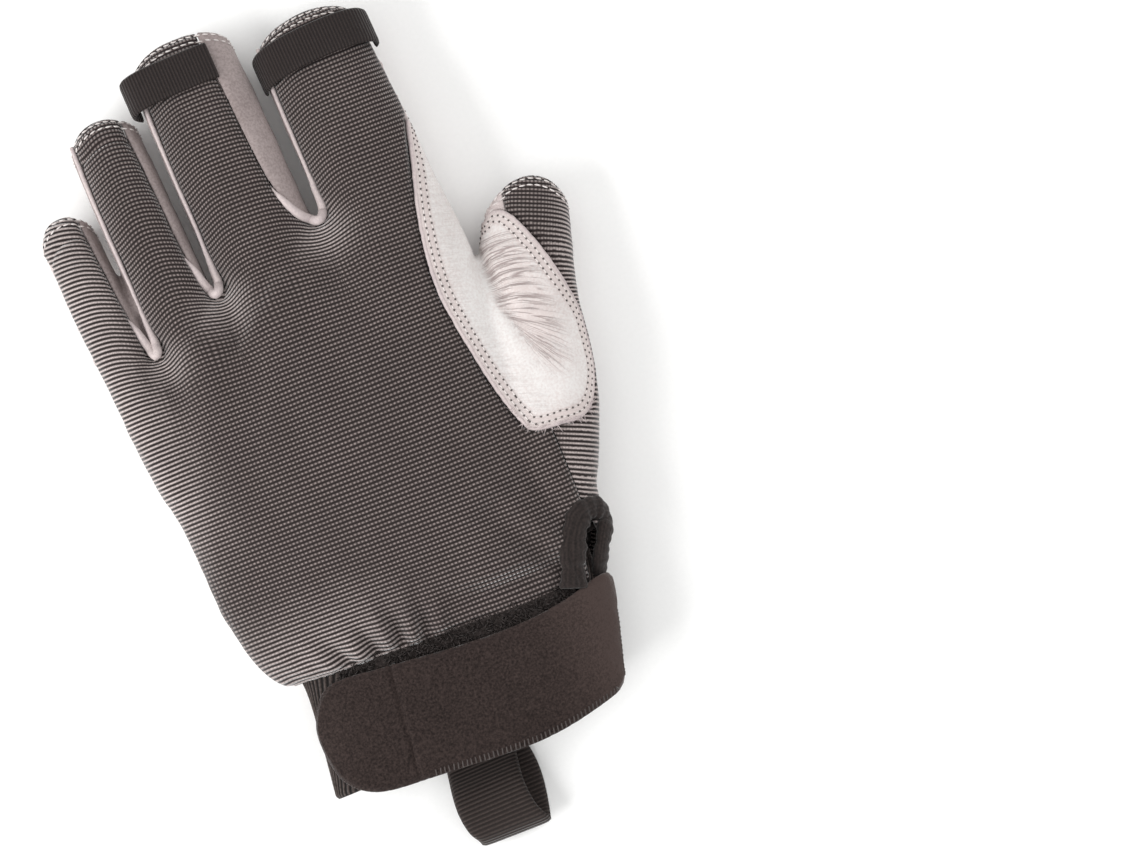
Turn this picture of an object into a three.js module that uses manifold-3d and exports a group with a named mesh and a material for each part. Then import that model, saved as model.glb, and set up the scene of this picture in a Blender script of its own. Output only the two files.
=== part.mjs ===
// A left-hand climbing glove with cut-off fingers, lying palm down on a surface.
// +X points to the thumb side, +Y to the fingertips and +Z to the back of the hand. Lengths are in millimetres.
// The hand form is a union of lofted tubes. An inner form, one wall smaller, hollows it, and the shell
// is then cut along the seams into the woven back, the leather palm and the smaller panels.
import * as THREE from "three";
import { mergeVertices } from "three/addons/utils/BufferGeometryUtils.js";
import Module from "manifold-3d";

// Driving dimensions
const palmBreadth = 103;
const palmLength = 112; // wrist seam to the crotch of the first two fingers
const palmThickness = 33;
const middleFinger = 57; // from the end of the palm to the middle finger's rim
const thumbReach = 87; // wrist side of the thumb tube to its open end, along Y
const thumbBreadth = 31;
const thumbThickness = 25;
const leatherWall = 1.5;
const seamGap = 0.3; // between any two pieces
const hemFlare = 5.6; // the inside opens out over this length at the wrist, so the hem thins to its edge
const cuffBreadth = 85.4;
const cuffThickness = 25.3;
const cuffLength = 33; // wrist seam to the cuff's free edge
const cuffWall = 1.9;
const cuffFloorClearance = 3.2;
const cuffTuck = 4.5; // how far the cuff reaches up inside the hem
const pileThickness = 1.3;
const pileStart = 1.8; // below the wrist seam
const strapThickness = 2.2;
const bindingThickness = 1.5;
const bindingEnd = 5.6; // below the wrist seam, where the strap starts to lie over the binding
const ventLip = 0.4; // the vent's edge stays this far inside its binding
const tabWidth = 10.5;
const tabThickness = 1.2;
const tabClearance = 0.45; // between a pull tab's sewn ends and its finger
const tabLift = 3; // how far the most raised tab stands off its finger besides
const webbingThickness = 1.2;
const hangLoopWidth = 20;
const hangLoopReach = 28; // beyond the cuff's free edge
const hangLoopOpening = 7;
const hangLoopNeck = 5; // where both its layers are sewn under the cuff
const hangLoopFromMiddle = 0.5; // sideways, from the hand's middle line
const anchorWidth = 21;
const anchorFromSeam = 3; // below the wrist seam
const anchorFromEdge = 7; // above the cuff's free edge
const fullness = 2.5; // exponent of the rounded sections: 2 is an ellipse

// Rows of the palm, from the wrist seam to the finger crotches. Columns left and right are shares of
// half the palm's breadth, low and high of its thickness, and y of its length at the little-finger side,
// with rise for how much further the thumb side reaches.
const palmRows = [
  { y: -0.009, rise: 0, left: -0.748, right: 0.992, low: 0.042, high: 0.918 },
  { y: 0.027, rise: 0, left: -0.835, right: 1.08, low: 0.0, high: 0.95 },
  { y: 0.116, rise: 0, left: -0.913, right: 1.113, low: -0.05, high: 0.98 },
  { y: 0.241, rise: 0, left: -0.948, right: 1.15, low: -0.07, high: 1.0 },
  { y: 0.35, rise: 0, left: -0.963, right: 1.17, low: -0.07, high: 1.01 },
  { y: 0.455, rise: 0, left: -0.975, right: 1.1, low: -0.06, high: 1.01 },
  { y: 0.58, rise: 0, left: -1.01, right: 1.02, low: 0.0, high: 1.0 },
  { y: 0.67, rise: 0.02, left: -1.025, right: 1.005, low: 0.06, high: 0.97 },
  { y: 0.765, rise: 0.06, left: -1.035, right: 1.0, low: 0.1, high: 0.93 },
  { y: 0.81, rise: 0.15, left: -1.02, right: 0.985, low: 0.14, high: 0.86 },
  { y: 0.825, rise: 0.195, left: -0.99, right: 0.95, low: 0.2, high: 0.76 },
  { y: 0.832, rise: 0.205, left: -0.92, right: 0.88, low: 0.3, high: 0.66 },
];
const seamHeight = 0.465; // of the palm's thickness, where the back meets the palm side
const knuckleArc = 2.2; // how quickly the knuckle line rises from the little finger
const crotchRows = 3; // the last rows, which close the palm between the fingers

// The fingers, as tubes that start inside the palm at the knuckle and end at the rim. Columns breadth and
// thickness are shares of the palm's; knuckleX and rimX of half its breadth; knuckleY of its length; and
// reach is how far the rim lies past the palm, as a share of the middle finger's.
const fingerSizes = [
  { name: "index", breadth: 0.305, thickness: 0.576, knuckleX: 0.68, knuckleY: 0.759, rimX: 0.643, reach: 0.877 },
  { name: "middle", breadth: 0.297, thickness: 0.588, knuckleX: 0.01, knuckleY: 0.723, rimX: -0.021, reach: 1 },
  { name: "ring", breadth: 0.198, thickness: 0.576, knuckleX: -0.515, knuckleY: 0.67, rimX: -0.561, reach: 0.781 },
  { name: "little", breadth: 0.155, thickness: 0.527, knuckleX: -0.847, knuckleY: 0.536, rimX: -0.938, reach: 0.43 },
];

// Rows of every finger tube. Columns: along, from knuckle to rim; wide, a share of half its breadth;
// thick, of half its thickness; height of its centre, of the palm's thickness.
const fingerRows = [
  { along: 0, wide: 1.0, thick: 1.3, height: 0.46 },
  { along: 0.27, wide: 1.01, thick: 1.17, height: 0.51 },
  { along: 0.5, wide: 1.0, thick: 1.05, height: 0.53 },
  { along: 0.65, wide: 1.0, thick: 1.0, height: 0.508 },
  { along: 0.8, wide: 0.99, thick: 0.95, height: 0.437 },
  { along: 0.9, wide: 0.97, thick: 0.91, height: 0.357 },
  { along: 1, wide: 0.94, thick: 0.87, height: 0.26 },
];

// Rows of the thumb. Columns x and y are shares of half the palm's breadth and of the thumb's reach, which
// starts at thumbStart of the palm's length.
const thumbRows = [
  { x: 0.69, y: 0, wide: 0.97, thick: 0.96, height: 0.5 },
  { x: 0.883, y: 0.212, wide: 1.06, thick: 1.04, height: 0.5 },
  { x: 1.058, y: 0.447, wide: 1.02, thick: 1.0, height: 0.47 },
  { x: 1.165, y: 0.682, wide: 0.9, thick: 0.88, height: 0.435 },
  { x: 1.27, y: 0.841, wide: 0.81, thick: 0.78, height: 0.395 },
  { x: 1.388, y: 1, wide: 0.72, thick: 0.69, height: 0.27 },
];
const thumbStart = 0.098;

// Rows of the web of leather between the palm and the thumb, across the hand.
const webRows = [
  { y: 0.313, left: 0.534, right: 1.155, thick: 0.7, height: 0.47 },
  { y: 0.491, left: 0.65, right: 1.194, thick: 0.64, height: 0.455 },
  { y: 0.616, left: 0.728, right: 1.194, thick: 0.55, height: 0.44 },
  { y: 0.715, left: 0.806, right: 1.194, thick: 0.46, height: 0.425 },
  { y: 0.775, left: 0.883, right: 1.136, thick: 0.34, height: 0.41 },
];

// Rows of the wrist. Columns middle and wide are shares of half the cuff's breadth; y is a share of its length.
const cuffRows = [
  { y: 0.152, middle: 0.149, wide: 1.005, thick: 1.0 },
  { y: -0.15, middle: 0.146, wide: 0.993, thick: 1.0 },
  { y: -0.64, middle: 0.083, wide: 0.977, thick: 0.98 },
  { y: -1.06, middle: 0.016, wide: 0.958, thick: 0.96 },
  { y: -1.45, middle: -0.034, wide: 0.944, thick: 0.94 },
];

// Seam lines seen from above, as shares of half the palm's breadth and of its length.
const crescentOnBack = [
  [1.058, 1.179], [0.971, 1.161], [0.893, 1.045], [0.806, 0.911], [0.757, 0.759], [0.781, 0.616],
  [0.835, 0.464], [0.899, 0.362], [0.951, 0.339], [1.078, 0.329], [1.204, 0.326], [1.282, 0.353],
  [1.35, 0.42], [1.388, 0.509], [1.404, 0.589], [1.369, 0.688], [1.291, 0.795], [1.214, 0.848],
  [1.136, 0.835], [1.068, 0.795], [1.058, 0.848],
];
const patchOnPalm = [
  [1.058, 1.179], [0.728, 1.165], [0.631, 1.134], [0.553, 1.062], [0.359, 0.737], [0.388, 0.714],
  [0.786, 0.647], [0.883, 0.656], [0.961, 0.696], [1.058, 0.777], [1.078, 0.848],
];
const gussetOnBack = [
  [1.029, 0.33], [1.117, 0.58], [1.233, 0.83], [1.282, 0.955], [1.893, 0.955], [1.893, -0.062],
  [0.961, -0.062], [1.01, 0.045], [1.029, 0.134],
];
const gussetOnPalm = [
  [1.699, 0.83], [1.515, 0.777], [1.437, 0.67], [1.359, 0.509], [1.233, 0.366], [1.039, 0.241],
  [0.806, 0.143], [0.631, 0.067], [0.456, -0.027], [0.456, -0.089], [1.893, -0.089], [1.893, 0.83],
];
const thumbLeatherOnBack = [
  [1.039, 0.759], [1.117, 0.58], [1.233, 0.83], [1.282, 0.955], [1.039, 0.955],
];
const ventCut = [
  [0.922, -0.11], [0.955, 0.009], [1.014, 0.082], [1.042, 0.064], [1.022, -0.009], [0.99, -0.11],
];
const ventBindingOuter = [
  [0.82, -0.075], [0.86, 0.0], [0.93, 0.09], [1.02, 0.138], [1.13, 0.128], [1.135, 0.05],
  [1.09, -0.02], [1.06, -0.075],
];

// Outlines on the wrist seen from above, as shares of half the cuff's breadth and of its length.
const strapOutline = [
  [-0.785, -0.21], [0.176, -0.248], [0.878, -0.227], [1.218, -0.183], [1.183, -0.455], [1.101, -0.848],
  [1.042, -1.032], [0.878, -1.12], [0.41, -1.198], [-0.293, -1.13], [-0.714, -1.069], [-0.831, -1.015],
  [-0.913, -0.818], [-0.913, -0.608], [-0.878, -0.363], [-0.843, -0.258],
];
const pileOutline = [
  [-0.724, -0.075], [0.362, -0.109], [0.941, -0.102], [0.965, -0.509], [0.881, -0.916], [-0.724, -0.916],
];

// Strips of leather between two fingers. Each reaches this far over the top and under the bottom of the
// facing sides: left is the finger nearer the little one. The middle finger is rolled, so more of it shows.
const fourchettes = [
  { name: "fourchette_index_middle", left: 1, right: 0, backLeft: 7.6, backRight: 2.1, palmLeft: 4, palmRight: 3.4 },
  { name: "fourchette_middle_ring", left: 2, right: 1, backLeft: 2.3, backRight: 2.1, palmLeft: 3.4, palmRight: 3.4 },
  { name: "fourchette_ring_little", left: 3, right: 2, backLeft: 2.3, backRight: 2.1, palmLeft: 3, palmRight: 3 },
];
// Columns: up, a share of the way from the crotch to the rims; spread, a share of the reaches above.
const fourchetteRows = [
  { up: 1, spread: 1 },
  { up: 0.3, spread: 0.95 },
  { up: 0.12, spread: 0.85 },
  { up: 0.03, spread: 0.7 },
  { up: -0.02, spread: 0.6 },
];
const crotchDepth = 3.8; // how far a strip's point reaches into the palm

// Pull tabs, sewn down at both ends over the back of a finger. Angles are in degrees round the finger from
// its thumb side; a lean below 1 has the tab stand off most near the start, and above 1 near the finish.
const pullTabs = [
  { name: "index_pull_tab", finger: 0, fromRim: 2.7, start: 8, finish: 172, lift: 0.5, lean: 0.45 },
  { name: "middle_pull_tab", finger: 1, fromRim: 2.8, start: 64, finish: 176, lift: 1, lean: 2.4 },
];

// How finely the forms are drawn
const palmCount = 32;
const fingerCount = 14;
const webCount = 12;
const fingerSteps = 7;
const tabSteps = 10;

// Blocks and inner forms that only cut
const cutBeyond = 12; // past an open end
const fingerBlockSpare = 0.2; // wider than the finger at each side
const thumbBlockSpare = 4;
const sharpestMitre = 0.5; // cosine of half a corner's turn, below which a grown outline is cut short

const wasm = await Module();
wasm.setup();

const colours = {
  woven: { color: 0x5e5654, roughness: 0.9, metalness: 0 },
  leather: { color: 0xd6cccb, roughness: 0.7, metalness: 0 },
  elastic: { color: 0x3a3433, roughness: 0.95, metalness: 0 },
  felt: { color: 0x4a4240, roughness: 1, metalness: 0 },
  pile: { color: 0x2e2a29, roughness: 1, metalness: 0 },
  webbing: { color: 0x332e2c, roughness: 0.85, metalness: 0 },
};

// Solids from geometry, and back

function solidOf(geometry) {
  const bare = geometry.clone();
  for (const name of Object.keys(bare.attributes)) {
    if (name !== "position") bare.deleteAttribute(name);
  }
  const merged = mergeVertices(bare, 1e-4);
  return new wasm.Manifold(
    new wasm.Mesh({
      numProp: 3,
      vertProperties: new Float32Array(merged.attributes.position.array),
      triVerts: new Uint32Array(merged.index.array),
    }),
  );
}

// The largest connected body, without the crumbs that a cut can leave.
function mainBody(solid) {
  const bodies = solid.decompose();
  bodies.sort((a, b) => b.volume() - a.volume());
  return bodies[0];
}

function meshOf(name, solid, look) {
  const source = solid.getMesh();
  const count = source.numProp;
  const positions = new Float32Array(source.numVert * 3);
  for (let i = 0; i < source.numVert; i++) {
    positions.set(source.vertProperties.subarray(i * count, i * count + 3), i * 3);
  }
  const geometry = new THREE.BufferGeometry();
  geometry.setAttribute("position", new THREE.BufferAttribute(positions, 3));
  geometry.setIndex(new THREE.BufferAttribute(new Uint32Array(source.triVerts), 1));
  geometry.computeVertexNormals();
  const mesh = new THREE.Mesh(geometry, new THREE.MeshStandardMaterial(colours[look]));
  mesh.name = name;
  return mesh;
}

function united(solids) {
  return solids.reduce((whole, solid) => whole.add(solid));
}

// A closed skin through rings of equally many points, with a fan over each end.
function loft(rings) {
  const count = rings[0].length;
  const points = rings.flat();
  const faces = [];
  for (let r = 0; r + 1 < rings.length; r++) {
    for (let i = 0; i < count; i++) {
      const a = r * count + i;
      const b = r * count + ((i + 1) % count);
      faces.push(a, b, b + count, a, b + count, a + count);
    }
  }
  const ends = [rings[0], rings[rings.length - 1]];
  ends.forEach((ring, end) => {
    const middle = new THREE.Vector3();
    ring.forEach((p) => middle.addScaledVector(p, 1 / count));
    points.push(middle);
    const start = end * (rings.length - 1) * count;
    for (let i = 0; i < count; i++) {
      const a = start + i;
      const b = start + ((i + 1) % count);
      if (end === 0) faces.push(points.length - 1, b, a);
      else faces.push(points.length - 1, a, b);
    }
  });
  const geometry = new THREE.BufferGeometry().setFromPoints(points);
  geometry.setIndex(faces);
  const flipped = new THREE.BufferGeometry().setFromPoints(points);
  flipped.setIndex([...faces].reverse());
  return signedVolume(geometry) > 0 ? solidOf(geometry) : solidOf(flipped);
}

function signedVolume(geometry) {
  const p = geometry.attributes.position;
  const index = geometry.index.array;
  const [a, b, c] = [new THREE.Vector3(), new THREE.Vector3(), new THREE.Vector3()];
  let sum = 0;
  for (let i = 0; i < index.length; i += 3) {
    a.fromBufferAttribute(p, index[i]);
    b.fromBufferAttribute(p, index[i + 1]);
    c.fromBufferAttribute(p, index[i + 2]);
    sum += a.dot(b.cross(c)) / 6;
  }
  return sum;
}

// A rounded section: points of a superellipse in the plane of right and up.
function section(centre, right, up, halfWide, halfThick, count) {
  const ring = [];
  for (let i = 0; i < count; i++) {
    const angle = (2 * Math.PI * i) / count;
    const [c, s] = [Math.cos(angle), Math.sin(angle)];
    const x = halfWide * Math.sign(c) * Math.abs(c) ** (2 / fullness);
    const z = halfThick * Math.sign(s) * Math.abs(s) ** (2 / fullness);
    ring.push(centre.clone().addScaledVector(right, x).addScaledVector(up, z));
  }
  return ring;
}

// Stations along a tube: centre, directions and half sizes, worked out smoothly between the given rows.
function stationsOf(rows, steps) {
  const path = new THREE.CatmullRomCurve3(rows.map((r) => r.centre));
  const girth = new THREE.CatmullRomCurve3(rows.map((r) => new THREE.Vector3(r.halfWide, r.halfThick, 0)));
  const made = [];
  for (let i = 0; i <= steps; i++) {
    const t = i / steps;
    const ahead = path.getTangent(t);
    const right = new THREE.Vector3().crossVectors(ahead, new THREE.Vector3(0, 0, 1)).normalize();
    const up = new THREE.Vector3().crossVectors(right, ahead).normalize();
    const half = girth.getPoint(t);
    made.push({ centre: path.getPoint(t), ahead, right, up, halfWide: half.x, halfThick: half.y });
  }
  return made;
}

// A tube through stations, grown outwards by grow. It runs past its open end by beyond.
function tube(stations, grow, beyond, count) {
  const rings = stations.map((s) =>
    section(s.centre, s.right, s.up, s.halfWide + grow, s.halfThick + grow, count));
  if (beyond > 0) {
    const end = stations[stations.length - 1];
    rings.push(rings[rings.length - 1].map((p) => p.clone().addScaledVector(end.ahead, beyond)));
  }
  return loft(rings);
}

// All the space above a tube's middle surface, as wide as the tube and a little more.
function aboveTube(stations, spare, drop) {
  const high = 2 * palmThickness;
  const rings = stations.map((s) => {
    const side = s.halfWide + spare;
    const corner = (x, z) => s.centre.clone().addScaledVector(s.right, x).addScaledVector(s.up, z);
    return [corner(side, high), corner(-side, high), corner(-side, -drop), corner(side, -drop)];
  });
  const end = stations[stations.length - 1];
  rings.push(rings[rings.length - 1].map((p) => p.clone().addScaledVector(end.ahead, cutBeyond)));
  return loft(rings);
}

const halfBreadth = palmBreadth / 2;
const onHand = ([x, y]) => new THREE.Vector2(x * halfBreadth, y * palmLength);
const onWrist = ([x, y]) => new THREE.Vector2((x * cuffBreadth) / 2, y * cuffLength);

// A closed outline drawn on the plan, moved outwards by grow.
function outlineShape(points, grow) {
  const area = THREE.ShapeUtils.area(points);
  const side = area > 0 ? 1 : -1;
  const moved = points.map((p, i) => {
    const before = points[(i + points.length - 1) % points.length];
    const after = points[(i + 1) % points.length];
    const inward = new THREE.Vector2().subVectors(p, before).normalize();
    const outward = new THREE.Vector2().subVectors(after, p).normalize();
    const along = inward.clone().add(outward).normalize();
    const reach = (side * grow) / Math.max(along.dot(outward), sharpestMitre);
    return new THREE.Vector2(p.x + along.y * reach, p.y - along.x * reach);
  });
  return new THREE.Shape(moved);
}

// A block with the outline's walls, from low to high.
function prism(points, grow = 0, low = -palmThickness, high = 2 * palmThickness) {
  const geometry = new THREE.ExtrudeGeometry(outlineShape(points, grow), { depth: high - low, bevelEnabled: false });
  geometry.translate(0, 0, low);
  return solidOf(geometry);
}

function slab(lowZ, highZ) {
  const wide = 6 * palmBreadth;
  const geometry = new THREE.BoxGeometry(wide, wide, highZ - lowZ);
  geometry.translate(0, 0, (lowZ + highZ) / 2);
  return solidOf(geometry);
}

// The hand form

function palmForm(grow) {
  const last = palmRows.length - 1;
  const rings = palmRows.map((row, r) => {
    const left = row.left * halfBreadth - grow;
    const right = row.right * halfBreadth + grow;
    const low = row.low * palmThickness - grow;
    const high = row.high * palmThickness + grow;
    const middle = new THREE.Vector3((left + right) / 2, 0, (low + high) / 2);
    const ring = section(middle, new THREE.Vector3(1, 0, 0), new THREE.Vector3(0, 0, 1),
      (right - left) / 2, (high - low) / 2, palmCount);
    const endShift = r > last - crotchRows ? grow : 0;
    const startShift = r === 0 && grow < 0 ? -hemFlare : 0;
    ring.forEach((p) => {
      const across = (p.x - left) / (right - left);
      const rise = row.rise * (1 - (1 - across) ** knuckleArc);
      p.y = (row.y + rise) * palmLength + endShift + startShift;
    });
    return ring;
  });
  return loft(rings);
}

function fingerStations(finger) {
  const rows = fingerRows.map((row) => ({
    centre: new THREE.Vector3(
      THREE.MathUtils.lerp(finger.knuckleX, finger.rimX, row.along) * halfBreadth,
      THREE.MathUtils.lerp(finger.knuckleY * palmLength, rimY(finger), row.along),
      row.height * palmThickness),
    halfWide: (row.wide * finger.breadth * palmBreadth) / 2,
    halfThick: (row.thick * finger.thickness * palmThickness) / 2,
  }));
  return stationsOf(rows, fingerSteps);
}

const rimY = (finger) => palmLength + finger.reach * middleFinger;
const fingers = fingerSizes.map((finger) => ({ ...finger, rimY: rimY(finger), stations: fingerStations(finger) }));
const thumbStations = stationsOf(
  thumbRows.map((row) => ({
    centre: new THREE.Vector3(
      row.x * halfBreadth, thumbStart * palmLength + row.y * thumbReach, row.height * palmThickness),
    halfWide: (row.wide * thumbBreadth) / 2,
    halfThick: (row.thick * thumbThickness) / 2,
  })),
  fingerSteps,
);

function webForm(grow) {
  const rings = webRows.map((row, r) => {
    const left = row.left * halfBreadth;
    const right = row.right * halfBreadth;
    const shift = r === webRows.length - 1 ? grow : 0;
    const middle = new THREE.Vector3((left + right) / 2, row.y * palmLength + shift, row.height * palmThickness);
    return section(middle, new THREE.Vector3(1, 0, 0), new THREE.Vector3(0, 0, 1),
      (right - left) / 2, (row.thick * palmThickness) / 2 + grow, webCount);
  });
  return loft(rings);
}

function handForm(grow, beyond) {
  const tubes = fingers.map((finger) => tube(finger.stations, grow, beyond, fingerCount));
  return united([palmForm(grow), ...tubes, tube(thumbStations, grow, beyond, fingerCount), webForm(grow)]);
}

const outerHand = handForm(0, 0).subtract(slab(-2 * palmThickness, 0));
const innerHand = handForm(-leatherWall, cutBeyond).subtract(slab(-2 * palmThickness, leatherWall));
const shell = outerHand.subtract(innerHand);

// Where the back ends and the palm side begins

function abovePalm(drop) {
  const wide = 4 * palmBreadth;
  const high = 2 * palmThickness;
  const rings = palmRows.map((row) => {
    const middle = seamHeight * palmThickness - drop;
    const y = (row.y + row.rise) * palmLength;
    return [[wide, high], [-wide, high], [-wide, middle], [wide, middle]].map(([x, z]) => new THREE.Vector3(x, y, z));
  });
  rings[0].forEach((p) => (p.y -= palmLength));
  return loft(rings);
}

function backSpace(drop) {
  const blocks = fingers.map((finger) => aboveTube(finger.stations, fingerBlockSpare, drop));
  return united([abovePalm(drop), ...blocks, aboveTube(thumbStations, thumbBlockSpare, drop)]);
}

const back = backSpace(0);
const backAndGap = backSpace(seamGap);
const backInsideGap = backSpace(-seamGap);

// The space of a panel that has one outline on the back and one on the palm side, grown outwards by grow.
function twoSided(upperBlock, lowerBlock, grow) {
  const upper = grow > 0 ? backAndGap : back;
  const lower = grow > 0 ? backInsideGap : back;
  return united([upperBlock.intersect(lowerBlock), upperBlock.intersect(upper), lowerBlock.subtract(lower)]);
}

function region(onBack, onPalm, grow) {
  return twoSided(prism(onBack.map(onHand), grow), prism(onPalm.map(onHand), grow), grow);
}

// The first of a row of points that lies beyond y, or the last where none does.
function nextBeyond(points, y) {
  const found = points.findIndex((p) => p.y > y);
  return found < 0 ? points.length - 1 : Math.max(found, 1);
}

// Where a finger's side is at a given y: side is -1 for the little-finger side and 1 for the thumb side.
function sideOf(finger, y, side) {
  const points = finger.stations.map((s) => s.centre.clone().addScaledVector(s.right, side * s.halfWide));
  const next = nextBeyond(points, y);
  const [a, b] = [points[next - 1], points[next]];
  return a.x + ((b.x - a.x) * (y - a.y)) / (b.y - a.y);
}

// The knuckle line, where the palm ends between the fingers.
function knuckleLine(x) {
  const row = palmRows[palmRows.length - 1];
  const across = (x / halfBreadth - row.left) / (row.right - row.left);
  return (row.y + row.rise * (1 - (1 - across) ** knuckleArc)) * palmLength;
}

// The block that cuts the strip between two fingers out of the shell.
function slot(strip, leftReach, rightReach, grow) {
  const [left, right] = [fingers[strip.left], fingers[strip.right]];
  const nearY = Math.min(left.rimY, right.rimY);
  const x = (sideOf(left, nearY, 1) + sideOf(right, nearY, -1)) / 2;
  const crotchY = knuckleLine(x);
  const far = Math.max(left.rimY, right.rimY) + tabWidth - crotchY;
  const at = (row, finger, side, reach) => {
    const y = crotchY + far * row.up;
    return new THREE.Vector2(sideOf(finger, y, side) - side * reach * row.spread, y);
  };
  const points = [
    ...fourchetteRows.map((row) => at(row, left, 1, leftReach)),
    new THREE.Vector2((sideOf(left, crotchY, 1) + sideOf(right, crotchY, -1)) / 2, crotchY - crotchDepth),
    ...fourchetteRows.map((row) => at(row, right, -1, rightReach)).reverse(),
  ];
  return prism(points, grow);
}

function slotRegion(strip, grow) {
  const upper = slot(strip, strip.backLeft, strip.backRight, grow);
  return twoSided(upper, slot(strip, strip.palmLeft, strip.palmRight, grow), grow);
}

const webPatchRegion = (grow) => region(crescentOnBack, patchOnPalm, grow);
const gussetRegion = (grow) => region(gussetOnBack, gussetOnPalm, grow);
const vent = prism(ventCut.map(onHand)).intersect(back);
const slots = united(fourchettes.map((strip) => slotRegion(strip, seamGap)));

const webPatch = shell.intersect(webPatchRegion(0)).subtract(slots);
const gusset = shell.intersect(gussetRegion(0)).subtract(webPatchRegion(seamGap)).subtract(vent);
const panels = shell.subtract(webPatchRegion(seamGap)).subtract(gussetRegion(seamGap)).subtract(slots);
const thumbLeather = (grow) => prism(thumbLeatherOnBack.map(onHand), grow);
const wovenBack = panels.intersect(back).subtract(thumbLeather(seamGap)).subtract(vent);
const palmLeather = panels.subtract(backAndGap.subtract(thumbLeather(0)));

// The wrist: a band of elastic, the pile on its back, the closure strap and the vent's binding

function cuffForm(grow, fromY, toY) {
  const rows = cuffRows.map((row) => ({
    y: row.y * cuffLength,
    middle: (row.middle * cuffBreadth) / 2,
    halfWide: (row.wide * cuffBreadth) / 2 + grow,
    low: cuffFloorClearance - grow,
    high: cuffFloorClearance + row.thick * cuffThickness + grow,
  }));
  const rings = rows.map((row) => section(
    new THREE.Vector3(row.middle, row.y, (row.low + row.high) / 2),
    new THREE.Vector3(1, 0, 0), new THREE.Vector3(0, 0, 1), row.halfWide, (row.high - row.low) / 2, palmCount));
  const block = new THREE.BoxGeometry(4 * palmBreadth, toY - fromY, 6 * palmThickness);
  block.translate(0, (fromY + toY) / 2, 0);
  return loft(rings).intersect(solidOf(block));
}

const below = -2 * cuffLength;
const cuff = cuffForm(0, -cuffLength, cuffTuck)
  .subtract(cuffForm(-cuffWall, below, cuffLength))
  .subtract(vent);
const pileBase = seamGap;
const pile = cuffForm(pileBase + pileThickness, below, -pileStart)
  .subtract(cuffForm(pileBase, below, cuffLength))
  .intersect(prism(pileOutline.map(onWrist))).intersect(back);
const strapBase = pileBase + pileThickness + seamGap;
const strapForm = cuffForm(strapBase + strapThickness, below, cuffLength)
  .subtract(cuffForm(strapBase, below, cuffLength));
const strap = strapForm.intersect(prism(strapOutline.map(onWrist))).intersect(back);

const bindingSkin = handForm(seamGap + bindingThickness, 0).subtract(handForm(seamGap, cutBeyond));
const bindingSpace = prism(ventBindingOuter.map(onHand))
  .subtract(prism(ventCut.map(onHand), ventLip))
  .intersect(back);
const underStrap = cuffForm(strapBase + strapThickness + seamGap, below, -bindingEnd);
const ventBinding = bindingSkin.intersect(bindingSpace).subtract(underStrap);

// Pull tabs: a band of webbing over the back of a finger, sewn at both sides

// The finger's station at a given y.
function stationAt(stations, y) {
  const next = nextBeyond(stations.map((s) => s.centre), y);
  const [a, b] = [stations[next - 1], stations[next]];
  const t = (y - a.centre.y) / (b.centre.y - a.centre.y);
  const between = (key) => a[key].clone().lerp(b[key], t);
  return {
    centre: between("centre"), ahead: between("ahead"), right: between("right"), up: between("up"),
    halfWide: THREE.MathUtils.lerp(a.halfWide, b.halfWide, t),
    halfThick: THREE.MathUtils.lerp(a.halfThick, b.halfThick, t),
  };
}

function pullTab(tab) {
  const finger = fingers[tab.finger];
  const place = stationAt(finger.stations, finger.rimY - tab.fromRim - tabWidth / 2);
  const rings = [];
  for (let i = 0; i <= tabSteps; i++) {
    const share = i / tabSteps;
    const angle = THREE.MathUtils.degToRad(THREE.MathUtils.lerp(tab.start, tab.finish, share));
    const lift = tabClearance + tab.lift * tabLift * Math.sin(Math.PI * share ** tab.lean);
    const [c, s] = [Math.cos(angle), Math.sin(angle)];
    const at = (off, along) => place.centre.clone()
      .addScaledVector(place.right, (place.halfWide + off) * Math.sign(c) * Math.abs(c) ** (2 / fullness))
      .addScaledVector(place.up, (place.halfThick + off) * Math.abs(s) ** (2 / fullness))
      .addScaledVector(place.ahead, along);
    const half = tabWidth / 2;
    rings.push([at(lift, -half), at(lift, half), at(lift + tabThickness, half), at(lift + tabThickness, -half)]);
  }
  return loft(rings);
}

// The hanging loop under the wrist and the webbing patch that anchors it

const anchorLength = cuffLength - anchorFromSeam - anchorFromEdge;
const anchor = new THREE.BoxGeometry(anchorWidth, anchorLength, webbingThickness);
anchor.translate(
  hangLoopFromMiddle, -anchorFromSeam - anchorLength / 2, cuffFloorClearance - seamGap - webbingThickness / 2);

// The loop seen from its side, one webbing thickness inside the outer line where inset is 1.
function loopProfile(inset) {
  const t = inset * webbingThickness;
  const tip = -cuffLength - hangLoopReach + t;
  const end = -cuffLength + (1 - inset) * hangLoopNeck;
  const high = cuffFloorClearance - seamGap - t;
  const low = high - 2 * webbingThickness + 2 * t;
  const round = -cuffLength - hangLoopReach + hangLoopOpening;
  const tall = hangLoopOpening + 2 * webbingThickness - 2 * t;
  const profile = new THREE.Shape();
  profile.moveTo(-cuffLength, low);
  profile.lineTo(round, low);
  profile.quadraticCurveTo(tip, low, tip, low + tall / 2);
  profile.quadraticCurveTo(tip, low + tall, round, low + tall);
  profile.bezierCurveTo(round + hangLoopOpening, low + tall, -cuffLength - hangLoopOpening, high, -cuffLength, high);
  if (end > -cuffLength) {
    profile.lineTo(end, high);
    profile.lineTo(end, low);
  }
  return profile;
}

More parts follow.
